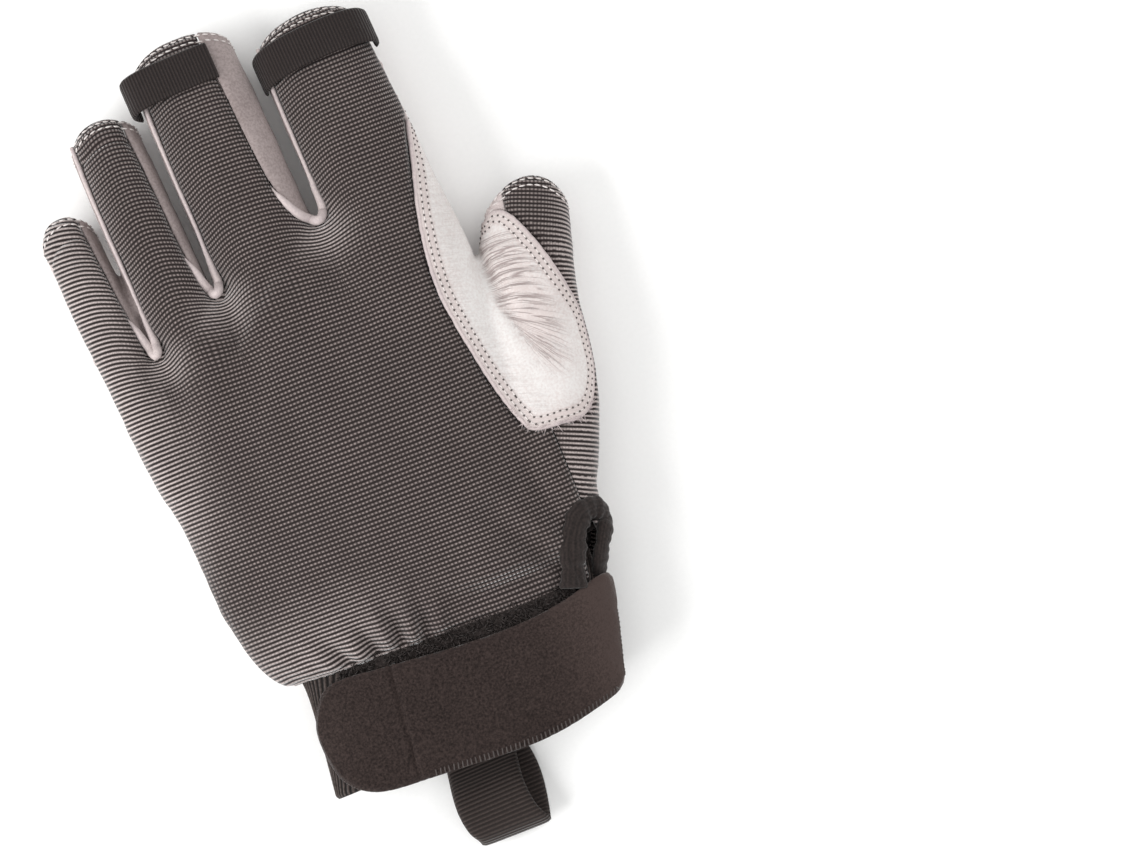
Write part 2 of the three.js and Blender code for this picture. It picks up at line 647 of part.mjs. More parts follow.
function loopSolid(inset, width) {
  const geometry = new THREE.ExtrudeGeometry(loopProfile(inset), { depth: width, bevelEnabled: false, curveSegments: 8 });
  geometry.applyMatrix4(new THREE.Matrix4().makeBasis(
    new THREE.Vector3(0, 1, 0), new THREE.Vector3(0, 0, 1), new THREE.Vector3(1, 0, 0)));
  geometry.translate(hangLoopFromMiddle - width / 2, 0, 0);
  return solidOf(geometry);
}

const hangLoop = loopSolid(0, hangLoopWidth).subtract(loopSolid(1, 2 * hangLoopWidth));

const glove = new THREE.Group();
glove.add(
  meshOf("woven_back", mainBody(wovenBack), "woven"),
  meshOf("palm_leather", mainBody(palmLeather), "leather"),
  meshOf("web_patch", mainBody(webPatch), "leather"),
  meshOf("thumb_gusset", mainBody(gusset), "woven"),
  meshOf("wrist_cuff", mainBody(cuff), "elastic"),
  meshOf("pile_patch", mainBody(pile), "pile"),
  meshOf("closure_strap", mainBody(strap), "felt"),
  meshOf("vent_binding", mainBody(ventBinding), "elastic"),
  meshOf("hang_loop", hangLoop, "webbing"),
  meshOf("hang_loop_anchor", solidOf(anchor), "webbing"),
);
for (const tab of pullTabs) glove.add(meshOf(tab.name, pullTab(tab), "webbing"));
for (const strip of fourchettes) {
  glove.add(meshOf(strip.name, mainBody(shell.intersect(slotRegion(strip, 0))), "leather"));
}

// The origin sits on the surface, under the middle of the glove's box.
const bounds = new THREE.Box3().setFromObject(glove);
const middle = bounds.getCenter(new THREE.Vector3());
glove.position.set(-middle.x, -middle.y, -bounds.min.z);

export default glove;
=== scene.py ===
# Climbing glove for the left hand, lying palm down: leather palm, woven stretch back, felt closure strap.
# The soft panels are cut from one smooth skin over the hand form, then sewn, creased and finished.
import math
import bpy
import numpy as np
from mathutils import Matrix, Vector, kdtree
from mathutils.bvhtree import BVHTree


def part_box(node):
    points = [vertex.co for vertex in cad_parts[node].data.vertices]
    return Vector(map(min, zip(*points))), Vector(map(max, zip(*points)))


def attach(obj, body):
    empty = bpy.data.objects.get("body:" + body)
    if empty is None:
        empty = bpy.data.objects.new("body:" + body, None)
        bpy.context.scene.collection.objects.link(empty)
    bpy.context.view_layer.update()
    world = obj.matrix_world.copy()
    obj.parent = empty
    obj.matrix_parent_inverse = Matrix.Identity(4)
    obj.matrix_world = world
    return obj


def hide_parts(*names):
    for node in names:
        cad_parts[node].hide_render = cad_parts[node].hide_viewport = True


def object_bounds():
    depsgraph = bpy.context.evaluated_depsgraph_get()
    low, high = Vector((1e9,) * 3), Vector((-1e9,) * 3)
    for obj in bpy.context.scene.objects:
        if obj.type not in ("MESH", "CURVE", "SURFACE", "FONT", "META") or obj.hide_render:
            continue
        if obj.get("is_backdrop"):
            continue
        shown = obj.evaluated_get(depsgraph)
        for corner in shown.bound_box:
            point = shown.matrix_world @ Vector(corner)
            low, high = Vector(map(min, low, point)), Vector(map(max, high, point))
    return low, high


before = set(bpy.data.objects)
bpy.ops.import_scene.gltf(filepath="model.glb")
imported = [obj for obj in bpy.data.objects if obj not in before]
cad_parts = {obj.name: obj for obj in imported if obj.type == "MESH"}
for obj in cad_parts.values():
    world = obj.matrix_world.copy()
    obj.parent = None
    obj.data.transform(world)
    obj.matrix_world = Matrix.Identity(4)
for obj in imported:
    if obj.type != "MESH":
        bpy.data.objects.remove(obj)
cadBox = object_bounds()
mm = 0.001

# Positions below are in millimetres from the middle of the wrist seam, as in the CAD source.
anchorLow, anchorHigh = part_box("hang_loop_anchor")
anchorMiddle = (anchorLow + anchorHigh) / 2 / mm
anchorSpot = (0.5, -14.5)  # the same middle in those millimetres
handShift = np.array([anchorMiddle.x - anchorSpot[0], anchorMiddle.y - anchorSpot[1], 0.0])

hand = {
    "palmBreadth": 103, "palmLength": 112, "palmThickness": 33, "middleFinger": 57,
    "sectionPower": 2.5,   # 2 is an ellipse, more is squarer
    "seamHeight": 0.465,   # where back meets palm side, share of the thickness
    "knuckleArc": 2.2,
    "voxel": 0.75,
    "smoothing": 5,
    "seamGap": 0.25,
    "floorSkin": 2.2,      # below this the skin is pressed flat on the floor
    "crotchRow": 112, "splitRow": 120,  # y at which two fingers' sides are compared
    "fingerBlend": (26, 6),  # how far before the knuckle line the seam turns to follow the fingers
    "beyondTip": 7,        # the form runs on past each open fingertip
    "floorGap": 0.02,
}
halfBreadth = hand["palmBreadth"] / 2

palmRows = [  # y, rise, left, right, low, high
    (-0.009, 0, -0.748, 0.992, 0.042, 0.918),
    (0.027, 0, -0.835, 1.08, 0.0, 0.95),
    (0.116, 0, -0.913, 1.113, -0.05, 0.98),
    (0.241, 0, -0.948, 1.15, -0.07, 1.0),
    (0.35, 0, -0.963, 1.17, -0.07, 1.01),
    (0.455, 0, -0.975, 1.1, -0.06, 1.01),
    (0.58, 0, -1.01, 1.02, 0.0, 1.0),
    (0.67, 0.02, -1.025, 1.005, 0.06, 0.97),
    (0.765, 0.06, -1.035, 1.0, 0.1, 0.93),
    (0.81, 0.15, -1.02, 0.985, 0.14, 0.86),
    (0.825, 0.195, -0.99, 0.95, 0.2, 0.76),
    (0.832, 0.205, -0.92, 0.88, 0.3, 0.66),
]
fingerShapes = {  # breadth, thickness, knuckle x and y, rim x, reach past the palm, as shares of the palm
    "index": (0.305, 0.576, 0.68, 0.759, 0.643, 0.877),
    "middle": (0.297, 0.588, 0.01, 0.723, -0.021, 1),
    "ring": (0.198, 0.576, -0.515, 0.67, -0.561, 0.781),
    "little": (0.155, 0.527, -0.847, 0.536, -0.938, 0.43),
}
fingerRows = [  # along, wide, thick, height
    (0, 1.0, 1.3, 0.46), (0.27, 1.01, 1.17, 0.51), (0.5, 1.0, 1.05, 0.53), (0.65, 1.0, 1.0, 0.508),
    (0.8, 0.99, 0.95, 0.437), (0.9, 0.97, 0.91, 0.357), (1, 0.94, 0.87, 0.26),
]
thumb = {
    "reach": 87, "breadth": 31, "thickness": 25, "start": 0.098,
    "blend": (46, 58), "upTo": 106,  # x over which the seam turns to follow the thumb, up to this y
}
thumbRows = [  # x, y, wide, thick, height
    (0.69, 0, 0.97, 0.96, 0.5), (0.883, 0.212, 1.06, 1.04, 0.5), (1.058, 0.447, 1.02, 1.0, 0.47),
    (1.165, 0.682, 0.9, 0.88, 0.435), (1.27, 0.841, 0.81, 0.78, 0.395), (1.388, 1, 0.72, 0.69, 0.27),
]
webRows = [  # y, left, right, thick, height
    (0.313, 0.534, 1.155, 0.7, 0.47), (0.491, 0.65, 1.194, 0.64, 0.455), (0.616, 0.728, 1.194, 0.55, 0.44),
    (0.715, 0.806, 1.194, 0.46, 0.425), (0.775, 0.883, 1.136, 0.34, 0.41),
]
cuff = {
    "breadth": 85.4, "thickness": 25.3, "length": 33, "lift": 3.2, "wall": 1.9, "tuck": 4.5,
    "ribPitch": 2.1, "ribDepth": 0.38, "ribLean": 62,  # degrees
    "around": 218, "squash": 3.2,  # length round the band, breadth to thickness
    "edgeRound": 0.5, "edgeWidth": 1.0, "ribsFrom": 1.2,  # the ribs start this far from the edge
}
cuffRows = [  # y, middle, wide, thick
    (0.152, 0.149, 1.005, 1.0), (-0.15, 0.146, 0.993, 1.0), (-0.64, 0.083, 0.977, 0.98),
    (-1.06, 0.016, 0.958, 0.96), (-1.45, -0.034, 0.944, 0.94),
]
crescentOnBack = [
    (1.058, 1.179), (0.971, 1.161), (0.893, 1.045), (0.806, 0.911), (0.757, 0.759), (0.781, 0.616),
    (0.835, 0.464), (0.899, 0.362), (0.951, 0.339), (1.078, 0.329), (1.204, 0.326), (1.282, 0.353),
    (1.35, 0.42), (1.388, 0.509), (1.404, 0.589), (1.375, 0.69), (1.315, 0.79), (1.25, 0.853),
    (1.18, 0.868), (1.12, 0.852), (1.075, 0.865), (1.04, 0.93),
]
patchOnPalm = [
    (1.058, 1.179), (0.728, 1.165), (0.631, 1.134), (0.553, 1.062), (0.359, 0.737), (0.388, 0.714),
    (0.786, 0.647), (0.883, 0.66), (0.961, 0.7), (1.04, 0.77), (1.09, 0.83), (1.075, 0.88), (1.04, 0.93),
]
gussetOnBack = [
    (1.029, 0.33), (1.117, 0.58), (1.233, 0.83), (1.282, 0.955), (1.893, 0.955), (1.893, -0.062),
    (0.961, -0.062), (1.01, 0.045), (1.029, 0.134),
]
gussetOnPalm = [
    (1.699, 0.83), (1.515, 0.777), (1.437, 0.67), (1.359, 0.509), (1.233, 0.366), (1.039, 0.241),
    (0.806, 0.143), (0.631, 0.067), (0.456, -0.027), (0.456, -0.089), (1.893, -0.089), (1.893, 0.83),
]
thumbLeatherOnBack = [
    (1.039, 0.759), (1.117, 0.58), (1.233, 0.83), (1.282, 0.955), (1.039, 0.955),
]
ventCut = [
    (0.922, -0.11), (0.955, 0.009), (1.014, 0.082), (1.042, 0.064), (1.022, -0.009), (0.99, -0.11),
]
strapOutline = [  # shares of half the cuff's breadth and of its length, as the pile's
    (-0.632, -0.1), (-0.328, -0.142), (0.176, -0.22), (0.562, -0.248), (0.878, -0.22), (1.225, -0.15),
    (1.183, -0.455), (1.101, -0.848), (1.042, -1.032), (0.878, -1.12), (0.41, -1.198), (-0.293, -1.13),
    (-0.6, -1.09), (-0.755, -1.01), (-0.858, -0.87), (-0.9, -0.66), (-0.892, -0.4), (-0.785, -0.17),
]
pileOutline = [
    (-0.6, -0.03), (0.362, -0.05), (0.941, -0.05), (0.965, -0.509), (0.881, -0.916), (-0.6, -0.916),
]
fourchettes = [  # name, left finger, right finger, reaches on the back, reaches on the palm side
    ("fourchette_index_middle", "middle", "index", 7.4, 0.9, 4, 2.6),
    ("fourchette_middle_ring", "ring", "middle", 2.6, 0.9, 3, 3),
    ("fourchette_ring_little", "little", "ring", 2.2, 0.9, 2.6, 2.6),
]


def between(a, b, c, d, f):
    # a smooth curve from b to c, with a before and d after them
    return 0.5 * (2 * b + (c - a) * f + (2 * a - 5 * b + 4 * c - d) * f**2 + (3 * b - a - 3 * c + d) * f**3)


def smoothRows(rows, steps):
    rows = np.asarray(rows, float)
    t = np.linspace(0, len(rows) - 1, steps + 1)
    i = np.clip(t.astype(int), 0, len(rows) - 2)
    p = np.vstack([2 * rows[0] - rows[1], rows, 2 * rows[-1] - rows[-2]])
    return between(p[i], p[i + 1], p[i + 2], p[i + 3], (t - i)[:, None])


def smoothOutline(points, steps=6, onWrist=False):
    scale = (cuff["breadth"] / 2, cuff["length"]) if onWrist else (halfBreadth, hand["palmLength"])
    p = np.asarray(points, float) * scale
    four = [np.roll(p, shift, 0) for shift in (1, 0, -1, -2)]
    rows = [between(*four, f) for f in np.arange(steps) / steps]
    return np.stack(rows, 1).reshape(-1, 2)


def runOf(line):
    # distance along a line at each of its points
    return np.concatenate([[0], np.cumsum(np.linalg.norm(np.diff(line, axis=0), axis=1))])


def evened(line, rounds):
    # draws each inner point between its neighbours
    for _ in range(rounds):
        line[1:-1] = line[1:-1] * 0.5 + (line[:-2] + line[2:]) * 0.25
    return line


def treeOf(spots):
    tree = kdtree.KDTree(len(spots))
    for i, spot in enumerate(spots):
        tree.insert(spot, i)
    tree.balance()
    return tree


def ramp(x, low, high):
    t = np.clip((x - low) / (high - low), 0, 1)
    return t * t * (3 - 2 * t)


def unit(v):
    return v / np.maximum(np.linalg.norm(v, axis=-1, keepdims=True), 1e-9)


def inOutline(points, outline):
    # signed distance to a closed outline seen from above, negative inside
    nearest = np.full(len(points), 1e9)
    inside = np.zeros(len(points), bool)
    x, y = points[:, 0], points[:, 1]
    for a, b in zip(outline, np.roll(outline, -1, 0)):
        ab = b - a
        t = np.clip(((x - a[0]) * ab[0] + (y - a[1]) * ab[1]) / max(ab @ ab, 1e-9), 0, 1)
        nearest = np.minimum(nearest, (x - a[0] - t * ab[0])**2 + (y - a[1] - t * ab[1])**2)
        if a[1] != b[1]:
            inside ^= ((a[1] > y) != (b[1] > y)) & (x < ab[0] * (y - a[1]) / ab[1] + a[0])
    return np.where(inside, -1, 1) * np.sqrt(nearest)


def waves(points, size, seed):
    # smooth noise from a few turned sine waves in three octaves, about -1 to 1
    turn = np.random.default_rng(seed)
    total, gain = 0, 1
    for _ in range(3):
        for _ in range(4):
            way = unit(turn.normal(size=3))
            phase = turn.uniform(0, 6.28, 2)
            bend = np.sin(points @ unit(turn.normal(size=3)) / size * 2.1 + phase[1])
            total = total + gain * 0.35 * np.sin(points @ way / size * 6.28 + phase[0] + 1.3 * bend)
        size, gain = size / 2, gain * 0.5
    return total


def tubeOf(rows, steps):
    # rows: x, y, z, half width, half thickness
    s = smoothRows(rows, steps)
    centre = s[:, :3]
    ahead = unit(np.gradient(centre, axis=0))
    right = unit(np.cross(ahead, (0, 0, 1)))
    return {"centre": centre, "ahead": ahead, "right": right, "up": np.cross(right, ahead),
            "wide": s[:, 3], "thick": s[:, 4]}


def squared(wave):
    # makes a sine or cosine squarer, as the hand's sections are
    return np.sign(wave) * np.abs(wave)**(2 / hand["sectionPower"])


def section(count):
    a = np.linspace(0, 2 * np.pi, count, endpoint=False)
    return squared(np.cos(a)), squared(np.sin(a))


def loftFaces(rings, count, first):
    faces = []
    for r in range(rings - 1):
        for i in range(count):
            a, b = first + r * count + i, first + r * count + (i + 1) % count
            faces.append((a, b, b + count, a + count))
    faces.append(tuple(first + i for i in reversed(range(count))))
    faces.append(tuple(first + (rings - 1) * count + i for i in range(count)))
    return faces


def tubeRings(tube, count):
    sx, sz = section(count)
    rings = [c + np.outer(sx * w, r) + np.outer(sz * t, u) for c, r, u, w, t in
             zip(tube["centre"], tube["right"], tube["up"], tube["wide"], tube["thick"])]
    return rings + [rings[-1] + tube["ahead"][-1] * hand["beyondTip"]]


def ringOf(count, x, halfWide, z, halfTall, y):
    # a squarish ring round x and z
    sx, sz = section(count)
    return np.stack([x + sx * halfWide, np.full(count, y), z + sz * halfTall], 1)


def palmRings(count):
    rings = []
    for y, rise, left, right, low, high in smoothRows([palmRows[0]] + palmRows, 36):
        l, r, tall = left * halfBreadth, right * halfBreadth, hand["palmThickness"] / 2
        made = ringOf(count, (l + r) / 2, (r - l) / 2, (low + high) * tall, (high - low) * tall, 0)
        across = np.clip((made[:, 0] - l) / (r - l), 0, 1)
        made[:, 1] = (y + rise * (1 - (1 - across)**hand["knuckleArc"])) * hand["palmLength"]
        rings.append(made)
    rings[0] = rings[0] - (0, 9, 0)  # closes a little way inside the wrist band
    return rings


def cuffRings(grow, count, steps):
    half, rings = cuff["breadth"] / 2, []
    for y, middle, wide, thick in smoothRows(cuffRows, steps):
        tall = thick * cuff["thickness"] / 2
        rings.append(ringOf(count, middle * half, wide * half + grow, cuff["lift"] + tall, tall + grow,
                            y * cuff["length"]))
    return rings


fingers = {}
for name, (breadth, thickness, kx, ky, rx, reach) in fingerShapes.items():
    startY, rimY = ky * hand["palmLength"], hand["palmLength"] + reach * hand["middleFinger"]
    halfWide, halfThick = breadth * halfBreadth, thickness * hand["palmThickness"] / 2
    rows = [((kx + (rx - kx) * a) * halfBreadth, startY + (rimY - startY) * a, h * hand["palmThickness"],
             w * halfWide, t * halfThick) for a, w, t, h in fingerRows]
    fingers[name] = tubeOf(rows, 48)
rows = [(x * halfBreadth, thumb["start"] * hand["palmLength"] + y * thumb["reach"], h * hand["palmThickness"],
         w * thumb["breadth"] / 2, t * thumb["thickness"] / 2) for x, y, w, t, h in thumbRows]
thumbTube = tubeOf(rows, 48)


def webRings(count):
    rings = []
    for y, left, right, thick, height in smoothRows(webRows, 12):
        l, r, tall = left * halfBreadth, right * halfBreadth, hand["palmThickness"]
        rings.append(ringOf(count, (l + r) / 2, (r - l) / 2, height * tall, thick * tall / 2,
                            y * hand["palmLength"]))
    return rings


def meshFrom(name, points, faces):
    mesh = bpy.data.meshes.new(name)
    corners = [tuple(int(i) for i in face) for face in faces]
    mesh.from_pydata(toMetres(np.asarray(points, float)).tolist(), [], corners)
    mesh.update()
    mesh.shade_smooth()
    return mesh


def toMetres(points):
    return (points + handShift) * mm


def objectFrom(name, data):
    made = bpy.data.objects.new(name, data)
    bpy.context.scene.collection.objects.link(made)
    return made


def shellFrom(name, points, faces):
    return objectFrom(name, meshFrom(name, points, faces))


def numbersOf(items, field, kind, width):
    # one field of a mesh's points, edges or faces, as rows of numbers
    found = np.empty(len(items) * width, kind)
    items.foreach_get(field, found)
    return found.reshape(-1, width)


def evaluated(made):
    # a plain mesh of the object with its modifiers done
    bpy.context.view_layer.update()
    return bpy.data.meshes.new_from_object(made.evaluated_get(bpy.context.evaluated_depsgraph_get()))


def applied(made):
    # the object's modifiers made real
    mesh = evaluated(made)
    made.modifiers.clear()
    old, made.data = made.data, mesh
    bpy.data.meshes.remove(old)
    return made


def skinOfForm(lofts):
    # one closed skin of small triangles over all the lofts, in millimetres
    points, faces, first = [], [], 0
    for rings in lofts:
        count = len(rings[0])
        points.append(np.concatenate(rings))
        faces += loftFaces(len(rings), count, first)
        first += count * len(rings)
    form = shellFrom("form", np.concatenate(points), faces)
    remesh = form.modifiers.new("Remesh", "REMESH")
    remesh.mode = "VOXEL"
    remesh.voxel_size = hand["voxel"] * mm
    applied(form)
    form.data.calc_loop_triangles()
    spots = numbersOf(form.data.vertices, "co", float, 3) / mm - handShift
    tris = numbersOf(form.data.loop_triangles, "vertices", int, 3)
    bpy.data.objects.remove(form)
    return spots, tris


def edgesOf(tris):
    e = np.sort(np.concatenate([tris[:, [0, 1]], tris[:, [1, 2]], tris[:, [2, 0]]]), 1)
    return np.unique(e, axis=0, return_counts=True)


def middles(points, edges):
    # the middle of each point's neighbours
    total, count = np.zeros_like(points), np.zeros(len(points))
    for i, j in ((0, 1), (1, 0)):
        np.add.at(total, edges[:, i], points[edges[:, j]])
        np.add.at(count, edges[:, i], 1)
    return total / np.maximum(count, 1)[:, None]


def relax(points, tris, rounds):
    edges, _ = edgesOf(tris)
    for _ in range(rounds):
        points = points + (middles(points, edges) - points) * 0.5
    return points


def normalsOf(points, tris):
    a, b, c = (points[tris[:, i]] for i in range(3))
    face = np.cross(b - a, c - a)
    total = np.zeros_like(points)
    for i in range(3):
        np.add.at(total, tris[:, i], face)
    return unit(total)


def compact(data, tris):
    # drops the points that no triangle uses
    used, back = np.unique(tris, return_inverse=True)
    return data[used], back.reshape(-1, 3)


def turned(tris, first):
    # each triangle with its corners turned so that the given one comes first
    return np.take_along_axis(tris, (first[:, None] + np.arange(3)) % 3, 1)


def clip(data, tris, level):
    # keeps the part of a triangle mesh where level is below 0, with a clean cut edge
    inside = (level < 0)[tris]
    count = inside.sum(1)
    one = turned(tris[count == 1], inside[count == 1].argmax(1))  # inside corner first
    two = turned(tris[count == 2], ((~inside[count == 2]).argmax(1) + 1) % 3)  # outside corner last
    pairs = np.concatenate([one[:, [0, 1]], one[:, [0, 2]], two[:, [1, 2]], two[:, [0, 2]]])
    cut, index = np.unique(np.sort(pairs, 1), axis=0, return_inverse=True)
    index = index.ravel() + len(data)
    a, b = level[cut[:, 0]], level[cut[:, 1]]
    t = (a / (a - b))[:, None]
    fresh = data[cut[:, 0]] * (1 - t) + data[cut[:, 1]] * t
    p, q, r, w = np.split(index, np.cumsum([len(one), len(one), len(two)]))
    parts = [tris[count == 3], np.stack([one[:, 0], p, q], 1), np.stack([two[:, 0], two[:, 1], r], 1),
             np.stack([two[:, 0], r, w], 1)]
    return compact(np.concatenate([data, fresh]), np.concatenate(parts))


def groupsOf(count, edges):
    # for each point, the lowest one that edges join it to
    group, before = np.arange(count), None
    while before is None or (group != before).any():
        before = group.copy()
        low = np.minimum(group[edges[:, 0]], group[edges[:, 1]])
        np.minimum.at(group, edges[:, 0], low)
        np.minimum.at(group, edges[:, 1], low)
        group = group[group]
    return group


def weld(data, tris, distance=0.14):
    # joins neighbours closer than distance, which removes the cut's slivers
    edges, _ = edgesOf(tris)
    short = np.linalg.norm(data[edges[:, 0], :3] - data[edges[:, 1], :3], axis=1) < distance
    tris = groupsOf(len(data), edges[short])[tris]
    whole = (tris[:, 0] != tris[:, 1]) & (tris[:, 1] != tris[:, 2]) & (tris[:, 2] != tris[:, 0])
    return compact(data, tris[whole])


def largest(data, tris, share=0.04):
    # drops the crumbs: pieces with less than this share of the points
    group = groupsOf(len(data), edgesOf(tris)[0])
    names, sizes = np.unique(group, return_counts=True)
    kept = np.isin(group, names[sizes > share * len(data)])
    return compact(data, tris[kept[tris].all(1)])


def edgeOf(points, tris):
    # each point's distance to the open edge
    edges, uses = edgesOf(tris)
    rim = edges[uses == 1]
    a, b = points[rim[:, 0]], points[rim[:, 1]]
    tree = treeOf(np.concatenate([a, (a + b) / 2, b]))
    return np.array([tree.find(p)[2] for p in points])


def contour(points, tris, values, level, keep=None):
    # the lines where values crosses level, as lists of points
    f = values - level
    s = f[tris] < 0
    mixed = tris[(s.sum(1) > 0) & (s.sum(1) < 3)]
    if keep is not None:
        mixed = mixed[keep[mixed].all(1)]
    spots, links = {}, {}
    for tri in mixed:
        ends = []
        for a, b in ((tri[0], tri[1]), (tri[1], tri[2]), (tri[2], tri[0])):
            if (f[a] < 0) != (f[b] < 0):
                key = (min(a, b), max(a, b))
                t = f[key[0]] / (f[key[0]] - f[key[1]])
                spots[key] = points[key[0]] * (1 - t) + points[key[1]] * t
                ends.append(key)
        if len(ends) == 2:
            links.setdefault(ends[0], []).append(ends[1])
            links.setdefault(ends[1], []).append(ends[0])
    lines, seen = [], set()
    for start in [k for k, v in links.items() if len(v) == 1] + list(links):
        line, here = [], start
        while here is not None and here not in seen:
            seen.add(here)
            line.append(spots[here])
            here = next((k for k in links[here] if k not in seen), None)
        if len(line) > 6:
            lines.append(evened(np.array(line), 3))
    return lines


def toLinear(code):
    channels = [int(code[i:i + 2], 16) / 255 for i in (1, 3, 5)]
    return (*[c / 12.92 if c <= 0.04045 else ((c + 0.055) / 1.055)**2.4 for c in channels], 1)


def fed(tree, made, inputs):
    # sets a node's inputs: a value, a hex colour, an output, or a node, whose first live output is meant
    for key, value in inputs.items():
        if isinstance(value, bpy.types.Node):
            value = next(out for out in value.outputs if out.enabled)
        if isinstance(value, bpy.types.NodeSocket):
            tree.links.new(value, made.inputs[key])
        else:
            made.inputs[key].default_value = toLinear(value) if isinstance(value, str) else value
    return made


def node(tree, kind, inputs=None, **settings):
    made = tree.nodes.new(kind)
    for key, value in settings.items():
        setattr(made, key, value)
    return fed(tree, made, inputs or {})


def newMaterial(name):
    material = bpy.data.materials.new(name)
    material.use_nodes = True
    tree = material.node_tree
    return material, tree, node(tree, "ShaderNodeTexCoord").outputs["Object"]


def surfaced(material, sockets):
    # gives the shader its colour, its bump and its own settings
    fed(material.node_tree, material.node_tree.nodes["Principled BSDF"], sockets)
    return material


# A Noise or Voronoi scale is the number of cells in a metre: a grain of 1 mm has the scale 1000.


def wovenStretch(name, dark, light, ribPitch, threadPitch):
    # polyamide stretch cloth, plain woven with a thick pale weft: rows of small matt beads across the hand.
    # Both pitches are in millimetres, as coarse as the rows that the photo shows.
    material, tree, spot = newMaterial(name)
    weave = node(tree, "ShaderNodeAttribute", attribute_name="weave")  # mm along a rib, mm across, stretch and painted sheen
    part = node(tree, "ShaderNodeSeparateXYZ", {0: weave.outputs["Vector"]})
    stretchAndSheen = part.outputs["Z"]  # 1 where the cloth is stretched and its ribs run plain, and where its lighter tone is painted sheen
    wobble = node(tree, "ShaderNodeTexNoise", {"Vector": spot, "Scale": 160, "Detail": 2})  # sways in 6 mm
    shift = node(tree, "ShaderNodeMath", {0: wobble, 1: 1.1}, operation="MULTIPLY")
    rows = []
    both = ("Y", ribPitch, -0.45, 0.75, 0.0), ("X", threadPitch, -0.8, 0.45, 0.08)
    for axis, pitch, low, high, least in both:
        turn = 2 * math.pi / pitch
        row = node(tree, "ShaderNodeMath", {0: part.outputs[axis], 1: turn}, operation="MULTIPLY")
        row = node(tree, "ShaderNodeMath", {0: row, 1: shift}, operation="ADD")
        row = node(tree, "ShaderNodeMath", {0: row}, operation="SINE")
        rows.append(node(tree, "ShaderNodeMapRange",
                         {"Value": row, "From Min": low, "From Max": high, "To Min": least}))
    bead = node(tree, "ShaderNodeMix", {0: stretchAndSheen, 2: rows[1], 3: 0.95}, data_type="FLOAT")
    raised = node(tree, "ShaderNodeMath", {0: rows[0], 1: bead}, operation="MULTIPLY")
    # the lighter tone marks stretched cloth and is also painted sheen on sides that tilt towards the lamps
    thread = node(tree, "ShaderNodeMix", {0: stretchAndSheen, 6: light[0], 7: light[1]}, data_type="RGBA")
    # clouds of 22 mm are wear, specks of 0.4 mm are the yarn's filaments
    for scale, detail, least, most in ((45, 3, 0.9, 1.08), (2600, 1, 0.75, 1.2)):
        noise = node(tree, "ShaderNodeTexNoise", {"Vector": spot, "Scale": scale, "Detail": detail})
        tone = node(tree, "ShaderNodeMapRange",
                    {"Value": noise, "From Min": 0.3, "From Max": 0.7, "To Min": least, "To Max": most})
        thread = node(tree, "ShaderNodeVectorMath", {0: thread, "Scale": tone}, operation="SCALE")
    colour = node(tree, "ShaderNodeMix", {0: raised, 6: dark, 7: thread}, data_type="RGBA")
    high = node(tree, "ShaderNodeBump", {"Strength": 0.8, "Distance": 0.0004, "Height": raised})
    return surfaced(material, {"Base Color": colour, "Normal": high, "Roughness": 0.85, "Sheen Weight": 0.5,
                               "Sheen Roughness": 0.35, "Specular IOR Level": 0.2})


